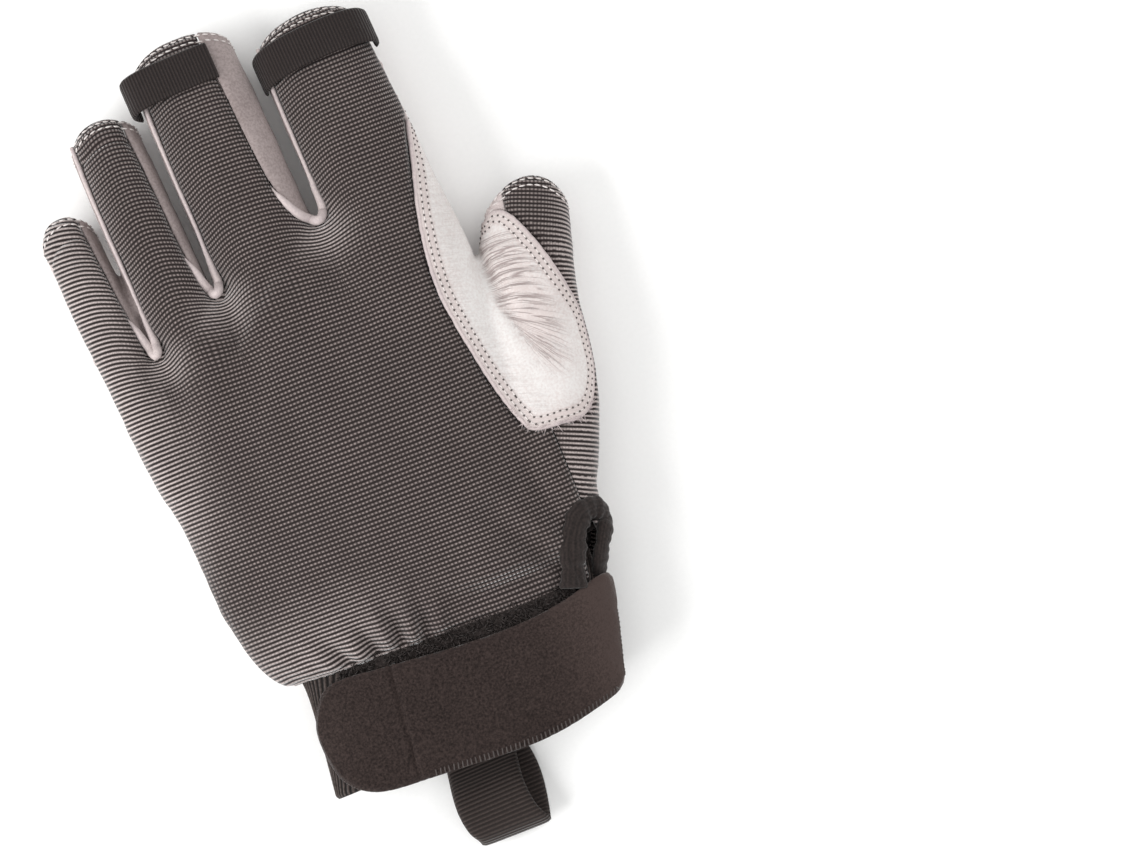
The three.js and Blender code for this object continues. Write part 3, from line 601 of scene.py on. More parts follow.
def goatLeather(name, face, shade, creaseShade, depth=1.0):
    # goat leather, dyed pale grey and shaved thin and soft: a pebbled grain and fine creases where it flexes,
    # their lines painted darker as painted shade
    material, tree, spot = newMaterial(name)
    flex = node(tree, "ShaderNodeAttribute", attribute_name="flex")  # mm across creases, along, strength
    part = node(tree, "ShaderNodeSeparateXYZ", {0: flex.outputs["Vector"]})
    strength = part.outputs["Z"]
    slow = node(tree, "ShaderNodeMath", {0: part.outputs["Y"], 1: 0.04}, operation="MULTIPLY")
    at = node(tree, "ShaderNodeCombineXYZ", {0: part.outputs["X"], 1: slow})
    creases = []
    for scale, width in ((0.42, 0.026), (0.95, 0.03)):  # creases about 2.4 and 1.05 mm apart
        wave = node(tree, "ShaderNodeTexNoise", {"Vector": at, "Scale": scale, "Detail": 2, "Roughness": 0.6})
        off = node(tree, "ShaderNodeMath", {0: wave, 1: 0.5}, operation="SUBTRACT")
        off = node(tree, "ShaderNodeMath", {0: off}, operation="ABSOLUTE")
        creases.append(node(tree, "ShaderNodeMapRange", {
            "Value": off, "From Min": 0.0, "From Max": width, "To Min": 1.0, "To Max": 0.0},
            interpolation_type="SMOOTHSTEP"))
    lines = node(tree, "ShaderNodeMath", {0: creases[0], 1: creases[1]}, operation="MAXIMUM")
    lines = node(tree, "ShaderNodeMath", {0: lines, 1: strength}, operation="MULTIPLY")
    # clouds of 26 mm are the dye, pebbles of 0.9 mm the grain, specks of 0.7 mm its pores, both drawn
    # coarser than they are so that they show
    cloud = node(tree, "ShaderNodeTexNoise", {"Vector": spot, "Scale": 38, "Detail": 4, "Roughness": 0.6})
    grain = node(tree, "ShaderNodeTexVoronoi", {"Vector": spot, "Scale": 1100}, feature="F1")
    pores = node(tree, "ShaderNodeTexNoise", {"Vector": spot, "Scale": 1500, "Detail": 2})
    tone = node(tree, "ShaderNodeMapRange",
                {"Value": cloud, "From Min": 0.32, "From Max": 0.68, "To Max": 0.45})
    speck = node(tree, "ShaderNodeMapRange",
                 {"Value": pores, "From Min": 0.38, "From Max": 0.66, "To Max": 0.45})
    seam = node(tree, "ShaderNodeAttribute", attribute_name="seam")  # darker where a seam was worked, and on the web patch's palm side as painted shade
    # painted shade: creased areas are drawn darker by their crease strength
    creasedShade = node(tree, "ShaderNodeMath", {0: strength, 1: 0.5}, operation="MULTIPLY")
    for more in (speck, seam.outputs["Fac"], creasedShade):
        tone = node(tree, "ShaderNodeMath", {0: tone, 1: more}, operation="ADD", use_clamp=True)
    colour = node(tree, "ShaderNodeMix", {0: tone, 6: face, 7: shade}, data_type="RGBA")
    # painted shade: the crease lines are drawn darker
    dark = node(tree, "ShaderNodeMath", {0: lines, 1: 0.8}, operation="MULTIPLY")
    colour = node(tree, "ShaderNodeMix", {0: dark, 6: colour, 7: creaseShade}, data_type="RGBA")
    sunk = node(tree, "ShaderNodeMath", {0: 1.0, 1: lines}, operation="SUBTRACT")
    high = node(tree, "ShaderNodeBump", {"Strength": 0.7 * depth, "Distance": 0.0005, "Height": sunk})
    fine = node(tree, "ShaderNodeMath", {0: grain, 1: pores}, operation="ADD")
    high = node(tree, "ShaderNodeBump",
                {"Strength": 0.22, "Distance": 0.0002, "Height": fine, "Normal": high})
    return surfaced(material, {"Base Color": colour, "Normal": high, "Roughness": 0.62,
                               "Specular IOR Level": 0.3, "Sheen Weight": 0.08})


def ribbedElastic(name, deep, raised):
    # knitted elastic band, rubber cores wrapped in dark polyester: matt, its ridges painted paler as painted
    # light and the grooves between them darker as painted shade. The yarn is too fine to show and is drawn as
    # 0.7 mm specks
    material, tree, spot = newMaterial(name)
    ridge = node(tree, "ShaderNodeAttribute", attribute_name="ridge")
    speck = node(tree, "ShaderNodeTexNoise", {"Vector": spot, "Scale": 1500, "Detail": 3})
    level = node(tree, "ShaderNodeMath", {0: ridge.outputs["Fac"], 1: speck}, operation="MULTIPLY")
    # painted light and shade: paler on the ridges' crests, darker in the grooves
    level = node(tree, "ShaderNodeMapRange", {"Value": level, "From Min": 0.1, "From Max": 0.75})
    colour = node(tree, "ShaderNodeMix", {0: level, 6: deep, 7: raised}, data_type="RGBA")
    high = node(tree, "ShaderNodeBump", {"Strength": 0.6, "Distance": 0.0003, "Height": speck})
    return surfaced(material, {"Base Color": colour, "Normal": high, "Roughness": 0.9,
                               "Sheen Weight": 0.15, "Specular IOR Level": 0.2})


def brushedFelt(name, face, fleck, sheen):
    # brushed polyester: a short matted nap, whose fibres are too fine to show and are drawn as 0.7 mm
    # flecks, over patches of 22 mm where the brushing is uneven
    material, tree, spot = newMaterial(name)
    nap = node(tree, "ShaderNodeTexNoise", {"Vector": spot, "Scale": 1500, "Detail": 4, "Roughness": 0.75})
    patch = node(tree, "ShaderNodeTexNoise", {"Vector": spot, "Scale": 45, "Detail": 2})
    palerNap = node(tree, "ShaderNodeAttribute", attribute_name="palerNap")
    level = node(tree, "ShaderNodeMapRange",
                 {"Value": nap, "From Min": 0.36, "From Max": 0.66, "To Max": 0.62})
    broad = node(tree, "ShaderNodeMapRange",
                 {"Value": patch, "From Min": 0.3, "From Max": 0.7, "To Max": 0.1})
    # paler where the strap's attribute says: towards its right end and along its edges
    for more in (broad, palerNap.outputs["Fac"]):
        level = node(tree, "ShaderNodeMath", {0: level, 1: more}, operation="ADD", use_clamp=True)
    colour = node(tree, "ShaderNodeMix", {0: level, 6: face, 7: fleck}, data_type="RGBA")
    high = node(tree, "ShaderNodeBump", {"Strength": 0.5, "Distance": 0.0004, "Height": nap})
    return surfaced(material, {"Base Color": colour, "Normal": high, "Roughness": 1.0, "Sheen Weight": sheen,
                               "Sheen Roughness": 0.35, "Specular IOR Level": 0.08})


def ribbedTape(name, deep, raised, pitch):
    # woven polyester tape, grosgrain or flat webbing: ribs across it, their crests painted paler as a painted
    # highlight and the grooves darker as painted shade.
    # The pitch is in millimetres
    material, tree, spot = newMaterial(name)
    weave = node(tree, "ShaderNodeAttribute", attribute_name="weave")  # mm along the tape, mm across it
    part = node(tree, "ShaderNodeSeparateXYZ", {0: weave.outputs["Vector"]})
    turn = node(tree, "ShaderNodeMath", {0: part.outputs["X"], 1: 2 * math.pi / pitch}, operation="MULTIPLY")
    rib = node(tree, "ShaderNodeMath", {0: turn}, operation="SINE")
    rib = node(tree, "ShaderNodeMapRange", {"Value": rib, "From Min": -0.9, "From Max": 0.9})
    fuzz = node(tree, "ShaderNodeTexNoise", {"Vector": spot, "Scale": 2200, "Detail": 2})  # 0.45 mm filaments
    # painted highlight on the rib crests and painted shade between them
    level = node(tree, "ShaderNodeMath", {0: rib, 1: fuzz}, operation="MULTIPLY")
    colour = node(tree, "ShaderNodeMix", {0: level, 6: deep, 7: raised}, data_type="RGBA")
    high = node(tree, "ShaderNodeBump", {"Strength": 0.8, "Distance": 0.0003, "Height": rib})
    return surfaced(material, {"Base Color": colour, "Normal": high, "Roughness": 0.7, "Sheen Weight": 0.12,
                               "Sheen Roughness": 0.35, "Specular IOR Level": 0.25})


def sewingThread(name, face, shade):
    # twisted polyester thread, satin, with its twist drawn as 0.55 mm changes of tone
    material, tree, spot = newMaterial(name)
    twist = node(tree, "ShaderNodeTexNoise", {"Vector": spot, "Scale": 1800, "Detail": 2})
    colour = node(tree, "ShaderNodeMix", {0: twist, 6: face, 7: shade}, data_type="RGBA")
    return surfaced(material, {"Base Color": colour, "Roughness": 0.5})


# pale weft, slack and stretched: the stretched tone is lighter also as painted sheen on the back's left side
# and the thumb gusset
cloth = wovenStretch("Woven polyamide stretch", "#211a19", ("#776b68", "#b5a9a6"), 1.2, 1.08)
leather = goatLeather("Goat leather", "#cdc2c0", "#b3a6a4", "#8f8381")
patchLeather = goatLeather("Goat leather patch", "#d4d2d0", "#c1b6b3", "#847674", 0.7)
# painted shade: the fourchettes' leather is drawn darker than the palm's, for the shade between the fingers
shadedFourchetteLeather = goatLeather("Goat leather, napped side, painted shade", "#9d918f", "#746866", "#6d615f", 0.8)
suede = goatLeather("Turned suede edge", "#c0b4b1", "#a4989a", "#8f8381", 0.6)
elastic = ribbedElastic("Ribbed elastic", "#120e0d", "#554b47")
bindingCloth = ribbedElastic("Stretch binding", "#120d0c", "#3f3532")
felt = brushedFelt("Brushed felt", "#191413", "#463b38", 0.3)
pileCloth = brushedFelt("Loop pile", "#1a1615", "#4d4644", 0.08)
grosgrain = ribbedTape("Grosgrain tape", "#160f0e", "#352b28", 0.9)
webbing = ribbedTape("Flat webbing", "#1d1614", "#4b413d", 1.15)
paleThread = sewingThread("Pale thread", "#e4dedb", "#b7aeab")
darkThread = sewingThread("Dark thread", "#241d1b", "#4a413e")
needleHoleShade = sewingThread("Needle hole shadow", "#57504e", "#3a3432")


print("glove: hand skin")
tubes = [tubeRings(tube, 40) for tube in (thumbTube, *fingers.values())]
skin, skinTris = skinOfForm([palmRings(64), webRings(32), *tubes])
skin = relax(skin, skinTris, hand["smoothing"])
pressed = hand["floorGap"] + hand["floorSkin"] * np.exp(skin[:, 2] / hand["floorSkin"] - 1)
skin[:, 2] = np.where(skin[:, 2] < hand["floorSkin"], pressed, skin[:, 2])


def along(points, tube):
    # where points are on a tube: the nearest ring, and how far across, above and past it
    gap = ((points[:, None, :] - tube["centre"][None, :, :])**2).sum(2)
    k = gap.argmin(1)
    d = points - tube["centre"][k]
    return {"k": k, "across": (d * tube["right"][k]).sum(1), "height": (d * tube["up"][k]).sum(1),
            "past": (d * tube["ahead"][k]).sum(1), "thick": tube["thick"][k]}


def knuckleLine(x):
    # y of the palm's end, which arcs from the little finger to the index finger
    row = palmRows[-1]
    across = np.clip((x / halfBreadth - row[2]) / (row[3] - row[2]), 0, 1)
    return (row[0] + row[1] * (1 - (1 - across)**hand["knuckleArc"])) * hand["palmLength"]


def sideOf(name, y, side):
    # x of a finger's left side (-1) or right side (1) at y
    tube = fingers[name]
    edge = tube["centre"] + tube["right"] * tube["wide"][:, None] * side
    return np.interp(y, edge[:, 1], edge[:, 0])


def gapMiddle(left, right, y):
    return (sideOf(left, y, 1) + sideOf(right, y, -1)) / 2


def crotchOf(left, right):
    # where two fingers part, on the knuckle line
    x = gapMiddle(left, right, hand["crotchRow"])
    return x, knuckleLine(x)


rimDome = {"finger": (2.4, 3.2), "thumb": (3.0, 6.0)}  # how far a rim's middle stands out, and its curve


def domed(points, tube, dome, aside):
    # how far past the open end, negative inside
    d = points - tube["centre"][-1]
    across = (d @ tube["right"][-1]) / tube["wide"][-1] - aside
    return d @ tube["ahead"][-1] - dome[0] + dome[1] * np.clip(across, -1.2, 1.2)**2


openEnd = {  # where the rim of an open fingertip or of the thumb's end cuts the skin
    "before": 25, "after": 15, "thumbFrom": 52, "thumbAside": -16, "thumbLean": 0.15,
}


def describe(points):
    # where each point is on the glove: the seam fields are negative inside
    x, y, z = points.T
    local = {name: along(points, tube) for name, tube in fingers.items()}
    local["thumb"] = along(points, thumbTube)
    names = list(fingers)
    gaps = np.array([gapMiddle(left, right, hand["splitRow"]) for right, left in zip(names, names[1:])])
    which = (x[:, None] < gaps[None, :]).sum(1)
    far, near = hand["fingerBlend"]
    onFinger = ramp(y, knuckleLine(x) - far, knuckleLine(x) - near)
    fingerHeight = np.choose(which, [local[n]["height"] for n in names])
    height = z - hand["seamHeight"] * hand["palmThickness"]
    height = height + (fingerHeight - height) * onFinger
    onThumb = ramp(x, *thumb["blend"]) * (y < thumb["upTo"])
    height = height + (local["thumb"]["height"] - height) * onThumb
    rim = np.full(len(points), -99.0)
    for i, n in enumerate(names):
        last = fingers[n]["centre"][-1]
        there = (which == i) & (y > last[1] - openEnd["before"])
        rim = np.where(there, domed(points, fingers[n], rimDome["finger"], 0), rim)
    last = thumbTube["centre"][-1]
    there = (x > openEnd["thumbFrom"]) & (local["thumb"]["across"] > openEnd["thumbAside"])
    there = there & (y > last[1] - openEnd["before"]) & (y < last[1] + openEnd["after"])
    rim = np.where(there, domed(points, thumbTube, rimDome["thumb"], openEnd["thumbLean"]), rim)
    return {"back": -height, "which": which, "local": local, "rim": rim,
            "onThumb": onThumb, "onFinger": onFinger, "hem": hemLine(x, height) - y}


hemDrop = {"at": -36, "slope": 0.05, "most": 3.2}  # the back's hem runs lower towards the thumb


def hemLine(x, height):
    drop = np.clip((x - hemDrop["at"]) * hemDrop["slope"], 0, hemDrop["most"]) * ramp(height, 0, 6)
    return palmRows[0][0] * hand["palmLength"] - drop


def bothSides(onBack, onPalm, back):
    # one field that follows onBack on the back and onPalm on the palm side
    sides = np.minimum(np.maximum(onBack, back), np.maximum(onPalm, -back))
    return np.minimum(sides, np.maximum(onBack, onPalm))


slotShape = {  # starts below the knuckle line, opens over a length, then reaches over the finger's sides
    "below": 1.2, "opens": 3, "reaches": 8.5, "leastLeft": 0.2, "leastRight": 0.6,
}


def slotField(points, left, right, reachLeft, reachRight):
    # the slot between two fingers, which a fourchette fills
    x, y = points[:, 0], points[:, 1]
    up = y - (crotchOf(left, right)[1] - slotShape["below"])
    a, b = sideOf(left, y, 1), sideOf(right, y, -1)
    middle = (a + b) / 2
    opening = np.sqrt(np.clip(up / slotShape["opens"], 0, 1))
    spread = 1 - np.exp(-np.clip(up, 0, 99) / slotShape["reaches"])
    overLeft = reachLeft * np.maximum(spread, opening * slotShape["leastLeft"])
    overRight = reachRight * np.maximum(spread, opening * slotShape["leastRight"])
    low = middle + (a - middle) * opening - overLeft
    high = middle + (b - middle) * opening + overRight
    return np.maximum(np.maximum(low - x, x - high), -up)


outlines = {
    "crescent": smoothOutline(crescentOnBack), "patch": smoothOutline(patchOnPalm),
    "gussetBack": smoothOutline(gussetOnBack, 1), "gussetPalm": smoothOutline(gussetOnPalm, 3),
    "thumbLeather": smoothOutline(thumbLeatherOnBack, 1), "vent": smoothOutline(ventCut),
}
ventSpare = 0.9  # the cloth is cut back this far under the binding


def seamFields(points):
    # one field for each panel, negative inside it
    here = describe(points)
    back = here["back"]
    inside = {name: inOutline(points, line) for name, line in outlines.items()}
    web = bothSides(inside["crescent"], inside["patch"], back)
    web = np.where((here["which"] == 0) | (here["onThumb"] > 0), web, 9)
    gusset = bothSides(inside["gussetBack"], inside["gussetPalm"], back)
    slots = {}
    for name, left, right, *reaches in fourchettes:
        onBack = slotField(points, left, right, *reaches[:2])
        slots[name] = bothSides(onBack, slotField(points, left, right, *reaches[2:]), back)
    anySlot = np.minimum.reduce(list(slots.values()))
    ends = np.maximum.reduce([here["rim"], here["hem"], ventSpare - np.maximum(inside["vent"], back)])
    thumbTop = np.maximum(inside["thumbLeather"], back)
    fields = {
        "web_patch": np.maximum.reduce([web, -anySlot, ends]),
        "thumb_gusset": np.maximum.reduce([gusset, -web, ends]),
        "woven_back": np.maximum.reduce([back, -web, -gusset, -anySlot, -thumbTop, ends]),
        "palm_leather": np.maximum.reduce([np.minimum(-back, thumbTop), -web, -gusset, -anySlot, ends]),
    }
    for name, slot in slots.items():
        fields[name] = np.maximum(slot, here["rim"])
    return fields, here


fields, here = seamFields(skin)
normals = normalsOf(skin, skinTris)
bundle = np.concatenate([skin, normals], 1)

backFolds = [  # x, y, direction in degrees, length, width, height
    (-10.5, 4.5, 96, 6, 1.9, 1.9), (-6.7, 2, 92, 7, 1.5, -1.4), (-3, 1.5, 84, 6, 1.8, 1.8),
    (0.6, 2, 80, 7, 1.5, -1.2),
    (-18.5, 1, 110, 5, 2.0, 1.7), (-14.6, 1.5, 104, 6, 1.6, -1.4), (5, 1, 76, 7, 2.2, 1.1),
    (-23, 2, 118, 6, 1.6, -1.2),
    (-28, 3, 124, 7, 2.2, 1.0), (27, 8, 178, 13, 2.8, 1.5), (27, 2.4, 178, 15, 2.0, -1.2),
    (12, 6, 168, 10, 2.6, -0.8),
    (36, 9, 122, 16, 2.6, -0.9), (40, 13, 118, 16, 2.4, 0.9), (44, 22, 100, 16, 2.2, -0.7),
    (-36, 5, 140, 9, 2.4, 0.6),
    (-15, 98, 90, 12, 4, -2.0), (16, 102, 90, 12, 6, -1.6), (-37, 91, 95, 10, 4, -1.8),
    (-27, 93, 90, 12, 5, 1.2),
    (-2, 98, 90, 14, 6, 1.2), (33, 104, 90, 16, 7, 0.8), (-10, 94, 50, 9, 2.6, 1.3),
    (-6, 99, 50, 9, 2.4, -1.1), (-8, 30, 10, 30, 6, 0.5), (10, 60, 165, 30, 7, 0.5),
    (-44, 40, 80, 22, 3, 0.4), (-40, 70, 75, 18, 3, -0.4),
    (20, 20, 20, 22, 4, -0.6), (30, 28, 24, 20, 4, 0.6), (44, 118, 60, 14, 3, 0.5),
]


def folds(points, table):
    total = np.zeros(len(points))
    for x, y, angle, length, width, height in table:
        a = math.radians(angle)
        dx, dy = points[:, 0] - x, points[:, 1] - y
        u, v = dx * math.cos(a) + dy * math.sin(a), -dx * math.sin(a) + dy * math.cos(a)
        total += height * np.exp(-(u / length)**2 - (v / width)**2)
    return total


webFold = {"top": (52.0, 88.0), "foot": (56.0, 62.0), "depth": 1.5, "width": 2.4}
webCreases = [  # where each leaves the fold, start angle and bend in degrees, length, strength
    (54.6, 91.5, 18, -38, 11, 0.3), (53, 88.5, 16, -44, 15, 0.9), (52, 84, 16, -54, 18, 1.0),
    (51.3, 79.5, 9, -48, 20, 1.0), (51.2, 75.5, -2, -38, 20, 1.0), (51.4, 72, -14, -28, 21, 1.0),
    (53, 69, -40, -8, 21, 0.95), (54.4, 66, -64, 8, 22, 0.85), (55.5, 62, -82, 14, 15, 0.25),
]


def webFlex(points, back):
    # creases leave the fold between palm and thumb and arch over the thumb. The flex attribute of a
    # leather says how far a point is across its creases, how far along them, and how strong they are.
    at, given = [], []
    for i, (x, y, start, bend, length, strength) in enumerate(smoothRows(webCreases, 90)):
        run = np.linspace(0, 1, 36)
        heading = np.radians(start + bend * run)
        step = np.stack([np.cos(heading), np.sin(heading), run * 0], 1) * length / 35
        at.append((x, y, 0) + np.cumsum(step, axis=0) - step[0])
        fade = strength * ramp(run, 0, 0.1) * (1 - ramp(run, 0.5, 1))
        given.append(np.stack([np.full(36, i * 0.36), run * length, fade], 1))
    near, given = treeOf(np.concatenate(at)), np.concatenate(given)
    flex = np.zeros((len(points), 3))
    for k, (x, y) in enumerate(points[:, :2]):
        found = near.find_n((x, y, 0), 4)
        weight = np.array([1 / (f[2] + 0.05)**2 for f in found])
        flex[k] = (given[[f[1] for f in found]] * weight[:, None]).sum(0) / weight.sum()
        away = found[0][2]
        flex[k, 2] *= 1 - min(max((away - 0.7) / 2, 0), 1)
        if away > 3:
            flex[k] = (0.5 * x + y + np.sin(x / 5), x - 0.5 * y, 0.16 * min((away - 3) / 4, 1))
    x, y = points[:, 0], points[:, 1]
    palmSide = np.stack([y + np.sin(x / 6), x, np.full(len(points), 0.15)], 1)
    return np.where((back < 0)[:, None], flex, palmSide)


thumbRoot = (58.0, 60.0)


def palmFlex(points):
    # faint creases: a fan round the thumb's root, and lines across the fingers
    x, y = points[:, 0], points[:, 1]
    d = points[:, :2] - thumbRoot
    r = np.hypot(*d.T)
    fan = np.stack([np.arctan2(d[:, 1], -d[:, 0]) * 20, r, 0.1 * np.exp(-((r - 26) / 14)**2)], 1)
    across = np.stack([y + 1.5 * np.sin(x / 9), x, np.full(len(points), 0.22)], 1)
    share = ramp(y, 78, 96)
    flex = np.where(share[:, None] > 0.5, across, fan)
    flex[:, 2] *= np.abs(2 * share - 1)
    return flex


jointCreases = [  # share of a finger's length, height
    (0.42, 0.8), (0.47, -0.6), (0.53, 0.6), (0.66, 0.5), (0.72, -0.5), (0.79, 0.45), (0.34, -0.5),
]


def palmCreases(points, here):
    x, y = points[:, 0], points[:, 1]
    total = 0.25 * waves(points * (0.35, 1.6, 1), 9, 3) * ramp(y, 92, 112)
    for i, n in enumerate(fingers):
        rows = fingers[n]["centre"][:, 1]
        for share, size in jointCreases:
            line = rows[0] + (rows[-1] - rows[0]) * share + 1.2 * np.sin(x / 4 + i)
            crease = size * np.exp(-((y - line) / 1.1)**2)
            total = total + np.where(here["which"] == i, crease, 0) * ramp(y, 95, 108)
    total = total + folds(points, [
        (20, 92, 15, 22, 3, -0.7), (-20, 88, -8, 24, 3, -0.6), (0, 70, 20, 26, 5, -0.8),
        (30, 50, 60, 26, 4, -0.7),
        (40, 36, 70, 20, 2, 0.6), (36, 40, 66, 20, 2, -0.6), (46, 30, 72, 18, 2, -0.6),
        (52, 50, 75, 14, 2, 0.5),
        (-30, 60, 80, 20, 4, -0.5), (33, 68, 28, 13, 1.6, 0.5), (36, 63, 40, 14, 1.4, -0.8),
        (40, 60, 52, 14, 1.3, -0.8),
        (45, 58, 64, 13, 1.3, -0.7),
    ])
    return 1.5 * total + 0.15 * waves(points, 14, 5)


panelSpecs = {
    "woven_back": {
        "wall": 1.3, "roll": 0.9, "rollWidth": 2.2, "material": cloth, "slot": "woven_stretch"},
    "thumb_gusset": {
        "wall": 1.3, "roll": 0.8, "rollWidth": 2.0, "material": cloth, "slot": "woven_stretch"},
    "palm_leather": {
        "wall": 1.3, "roll": 0.8, "rollWidth": 2.2, "material": leather, "slot": "goat_leather"},
    "web_patch": {
        "wall": 1.3, "roll": 0.35, "rollWidth": 0.9, "material": patchLeather, "slot": "patch_leather"},
}
for name, *_ in fourchettes:
    panelSpecs[name] = {"wall": 1.2, "roll": 0.5, "rollWidth": 1.2,
                        "material": shadedFourchetteLeather, "slot": "goat_leather"}


def wrapped(at):
    # how much farther a point on a finger's side is round the finger than it looks from above
    sideways = at["across"]
    return -np.sign(sideways) * (at["height"] - at["thick"]) * ramp(np.abs(sideways), 2, 7)


def weaveOf(points, here):
    # the weave attribute: millimetres along a rib, across the ribs, and how stretched the cloth is, which
    # also paints lighter sheen
    x, y = points[:, 0], points[:, 1]
    u, v = x.copy(), y.copy()
    for i, n in enumerate(fingers):
        u += (here["which"] == i) * here["onFinger"] * wrapped(here["local"][n])
    # the back's left side: stretched, and lighter also as painted light
    stretchAndSheen = 0.15 + 0.85 * ramp(-x, 30, 52) * ramp(y, 30, 60)
    for _, left, right, *_ in fourchettes:
        cx, cy = crotchOf(left, right)
        v += 4.0 * np.exp(-((x - cx) / 7)**2) * np.exp(-np.clip(cy - y, 0, 99) / 9)
        stretchAndSheen = np.maximum(stretchAndSheen, 0.9 * np.exp(-((x - cx) / 9)**2 - ((y - cy + 5) / 8)**2))
    v += 1.2 * np.sin(x / 31) + 0.6 * np.sin(y / 23 + x / 40)
    u += 0.9 * np.sin(y / 37)
    # the lower left of the back: drawn as stretched so that it is lighter, as painted light
    stretchAndSheen = np.maximum(stretchAndSheen, 0.8 * ramp(-y, -34, 0) * ramp(-x, -15, 22))
    return np.stack([u, v, np.clip(stretchAndSheen, 0, 1)], 1)


def gussetWeave(here):
    # the same, measured along the thumb
    at = here["local"]["thumb"]
    u, v = at["across"] + wrapped(at), runOf(thumbTube["centre"])[at["k"]] + at["past"]
    # lighter towards its outer side: stretched, and lighter also as painted sheen
    return np.stack([u, v, np.clip(0.25 + 0.7 * ramp(at["across"], 2, 12), 0, 1)], 1)


def setAttribute(mesh, name, values):
    # one number or one vector for each point, which the material reads
    values = np.asarray(values, np.float32)
    kind, field = ("FLOAT", "value") if values.ndim == 1 else ("FLOAT_VECTOR", "vector")
    mesh.attributes.new(name, kind, "POINT").data.foreach_set(field, values.ravel())


def finished(made, material, replaces=None):
    if material is not None:
        made.data.materials.clear()
        made.data.materials.append(material)
    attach(made, "root")
    if replaces:
        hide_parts(replaces)
    return made


def calm(mesh, most=1.1):
    # slivers along a cut send single points outward: those are drawn back between their neighbours
    points = numbersOf(mesh.vertices, "co", float, 3)
    pairs = numbersOf(mesh.edges, "vertices", int, 2)
    for _ in range(3):
        middle = middles(points, pairs)
        astray = np.linalg.norm(points - middle, axis=1) > most * mm
        points[astray] = middle[astray]
    mesh.vertices.foreach_set("co", points.ravel())
    mesh.update()


def thicken(made, wall):
    solid = made.modifiers.new("Solidify", "SOLIDIFY")
    solid.thickness = wall * mm
    solid.offset = -1
    calm(applied(made).data)


def sheet(name, points, tris, wall, attributes, material, replaces=None):
    # a thin shape made into a piece of cloth or leather as thick as its wall
    made = shellFrom(name, points, tris)
    for key, values in attributes.items():
        setAttribute(made.data, key, values)
    thicken(made, wall)
    finished(made, material, replaces)


def webValley(points):
    # how deep each point is in the fold between palm and thumb, 0 to 1
    top, foot = np.array(webFold["top"]), np.array(webFold["foot"])
    way = unit(foot - top)
    d = points[:, :2] - top
    past, aside = d @ way, d @ np.array([way[1], -way[0]])
    valley = np.exp(-(aside / webFold["width"])**2) * ramp(past, -2, 3) * (1 - ramp(past, 16, 34))
    return valley * (points[:, 2] > 15)


patchRows = (1.6, 3.3)  # stitch rows round the web patch, from its edge
relief = {  # how high folds and waves stand, and how large the waves are
    "back": {"folds": 1.3, "flatEdge": 1.4, "waves": 0.25, "size": 22},
    "hem": {"at": -7.5, "deep": 0.5, "width": 0.8},  # the turned-in hem's seam, from the rim
    "patch": {"lift": 0.3, "waves": 0.1, "size": 12, "ripple": 0.2, "ripples": 2.2},
    "groove": {"deep": 0.16, "width": 0.5},  # that a row's thread pulls
}
panels = {}
for name, field in fields.items():
    spec = panelSpecs[name]
    data, tris = largest(*weld(*clip(bundle, skinTris, field + hand["seamGap"] / 2)))
    points = data[:, :3]
    nearHere = describe(points)
    outward = normalsOf(points, tris)
    edge = edgeOf(points, tris)
    push = -spec["roll"] * (1 - ramp(edge, 0, spec["rollWidth"]))
    if spec["material"] is cloth:
        weave = gussetWeave(nearHere) if name == "thumb_gusset" else weaveOf(points, nearHere)
        attributes = {"weave": weave}
    else:
        attributes = {"flex": palmFlex(points), "seam": np.zeros(len(points))}
    if name == "woven_back":
        size, hem = relief["back"], relief["hem"]
        push = push + size["folds"] * folds(points, backFolds) * ramp(edge, 0, size["flatEdge"])
        push = push + size["waves"] * waves(points, size["size"], 11)
        push = push - hem["deep"] * np.exp(-((nearHere["rim"] - hem["at"]) / hem["width"])**2)
    elif name == "web_patch":
        flex = webFlex(points, nearHere["back"])
        seam = np.maximum(0.6 * (1 - ramp(edge, 3.2, 4.4)), 0.5 * ramp(nearHere["back"], 0, 3))
        attributes = {"flex": flex, "seam": seam}  # darker round its edge, where it is sewn, and on the palm side as painted shade
        size, groove = relief["patch"], relief["groove"]
        push = push + size["lift"] - webFold["depth"] * webValley(points)
        push = push + size["waves"] * waves(points, size["size"], 4) * ramp(edge, 0, 3)
        ripple = size["ripple"] * flex[:, 2] * np.sin(flex[:, 0] * size["ripples"])
        push = push + ripple * ramp(edge, 3, 5) * (nearHere["back"] < 0)
        for line in patchRows:
            push = push - groove["deep"] * np.exp(-((edge - line) / groove["width"])**2)
    elif name == "palm_leather":
        push = push + palmCreases(points, nearHere) * ramp(edge, 0, 3)
    else:
        push = push + 0.08 * waves(points, 10, 6)
    if name.startswith("fourchette"):
        attributes["flex"][:, 2] *= 0.25
    shaped = points + outward * push[:, None]
    shaped[:, 2] = np.maximum(shaped[:, 2], hand["floorGap"])
    panels[name] = {"points": shaped, "tris": tris, "edge": edge, "here": nearHere, "outward": outward}
    sheet(name + "_panel", shaped, tris, spec["wall"], attributes, spec["material"], name)
    print("glove: panel", name, len(tris))


def curveFrom(name, lines, radii=None):
    curve = bpy.data.curves.new(name, "CURVE")
    curve.dimensions = "3D"
    for i, line in enumerate(lines):
        spline = curve.splines.new("POLY")
        spline.points.add(len(line) - 1)
        at = toMetres(np.asarray(line))
        spline.points.foreach_set("co", np.concatenate([at, np.ones((len(at), 1))], 1).ravel())
        spline.points.foreach_set("radius", np.ones(len(at)) if radii is None else radii[i])
    return objectFrom(name, curve)


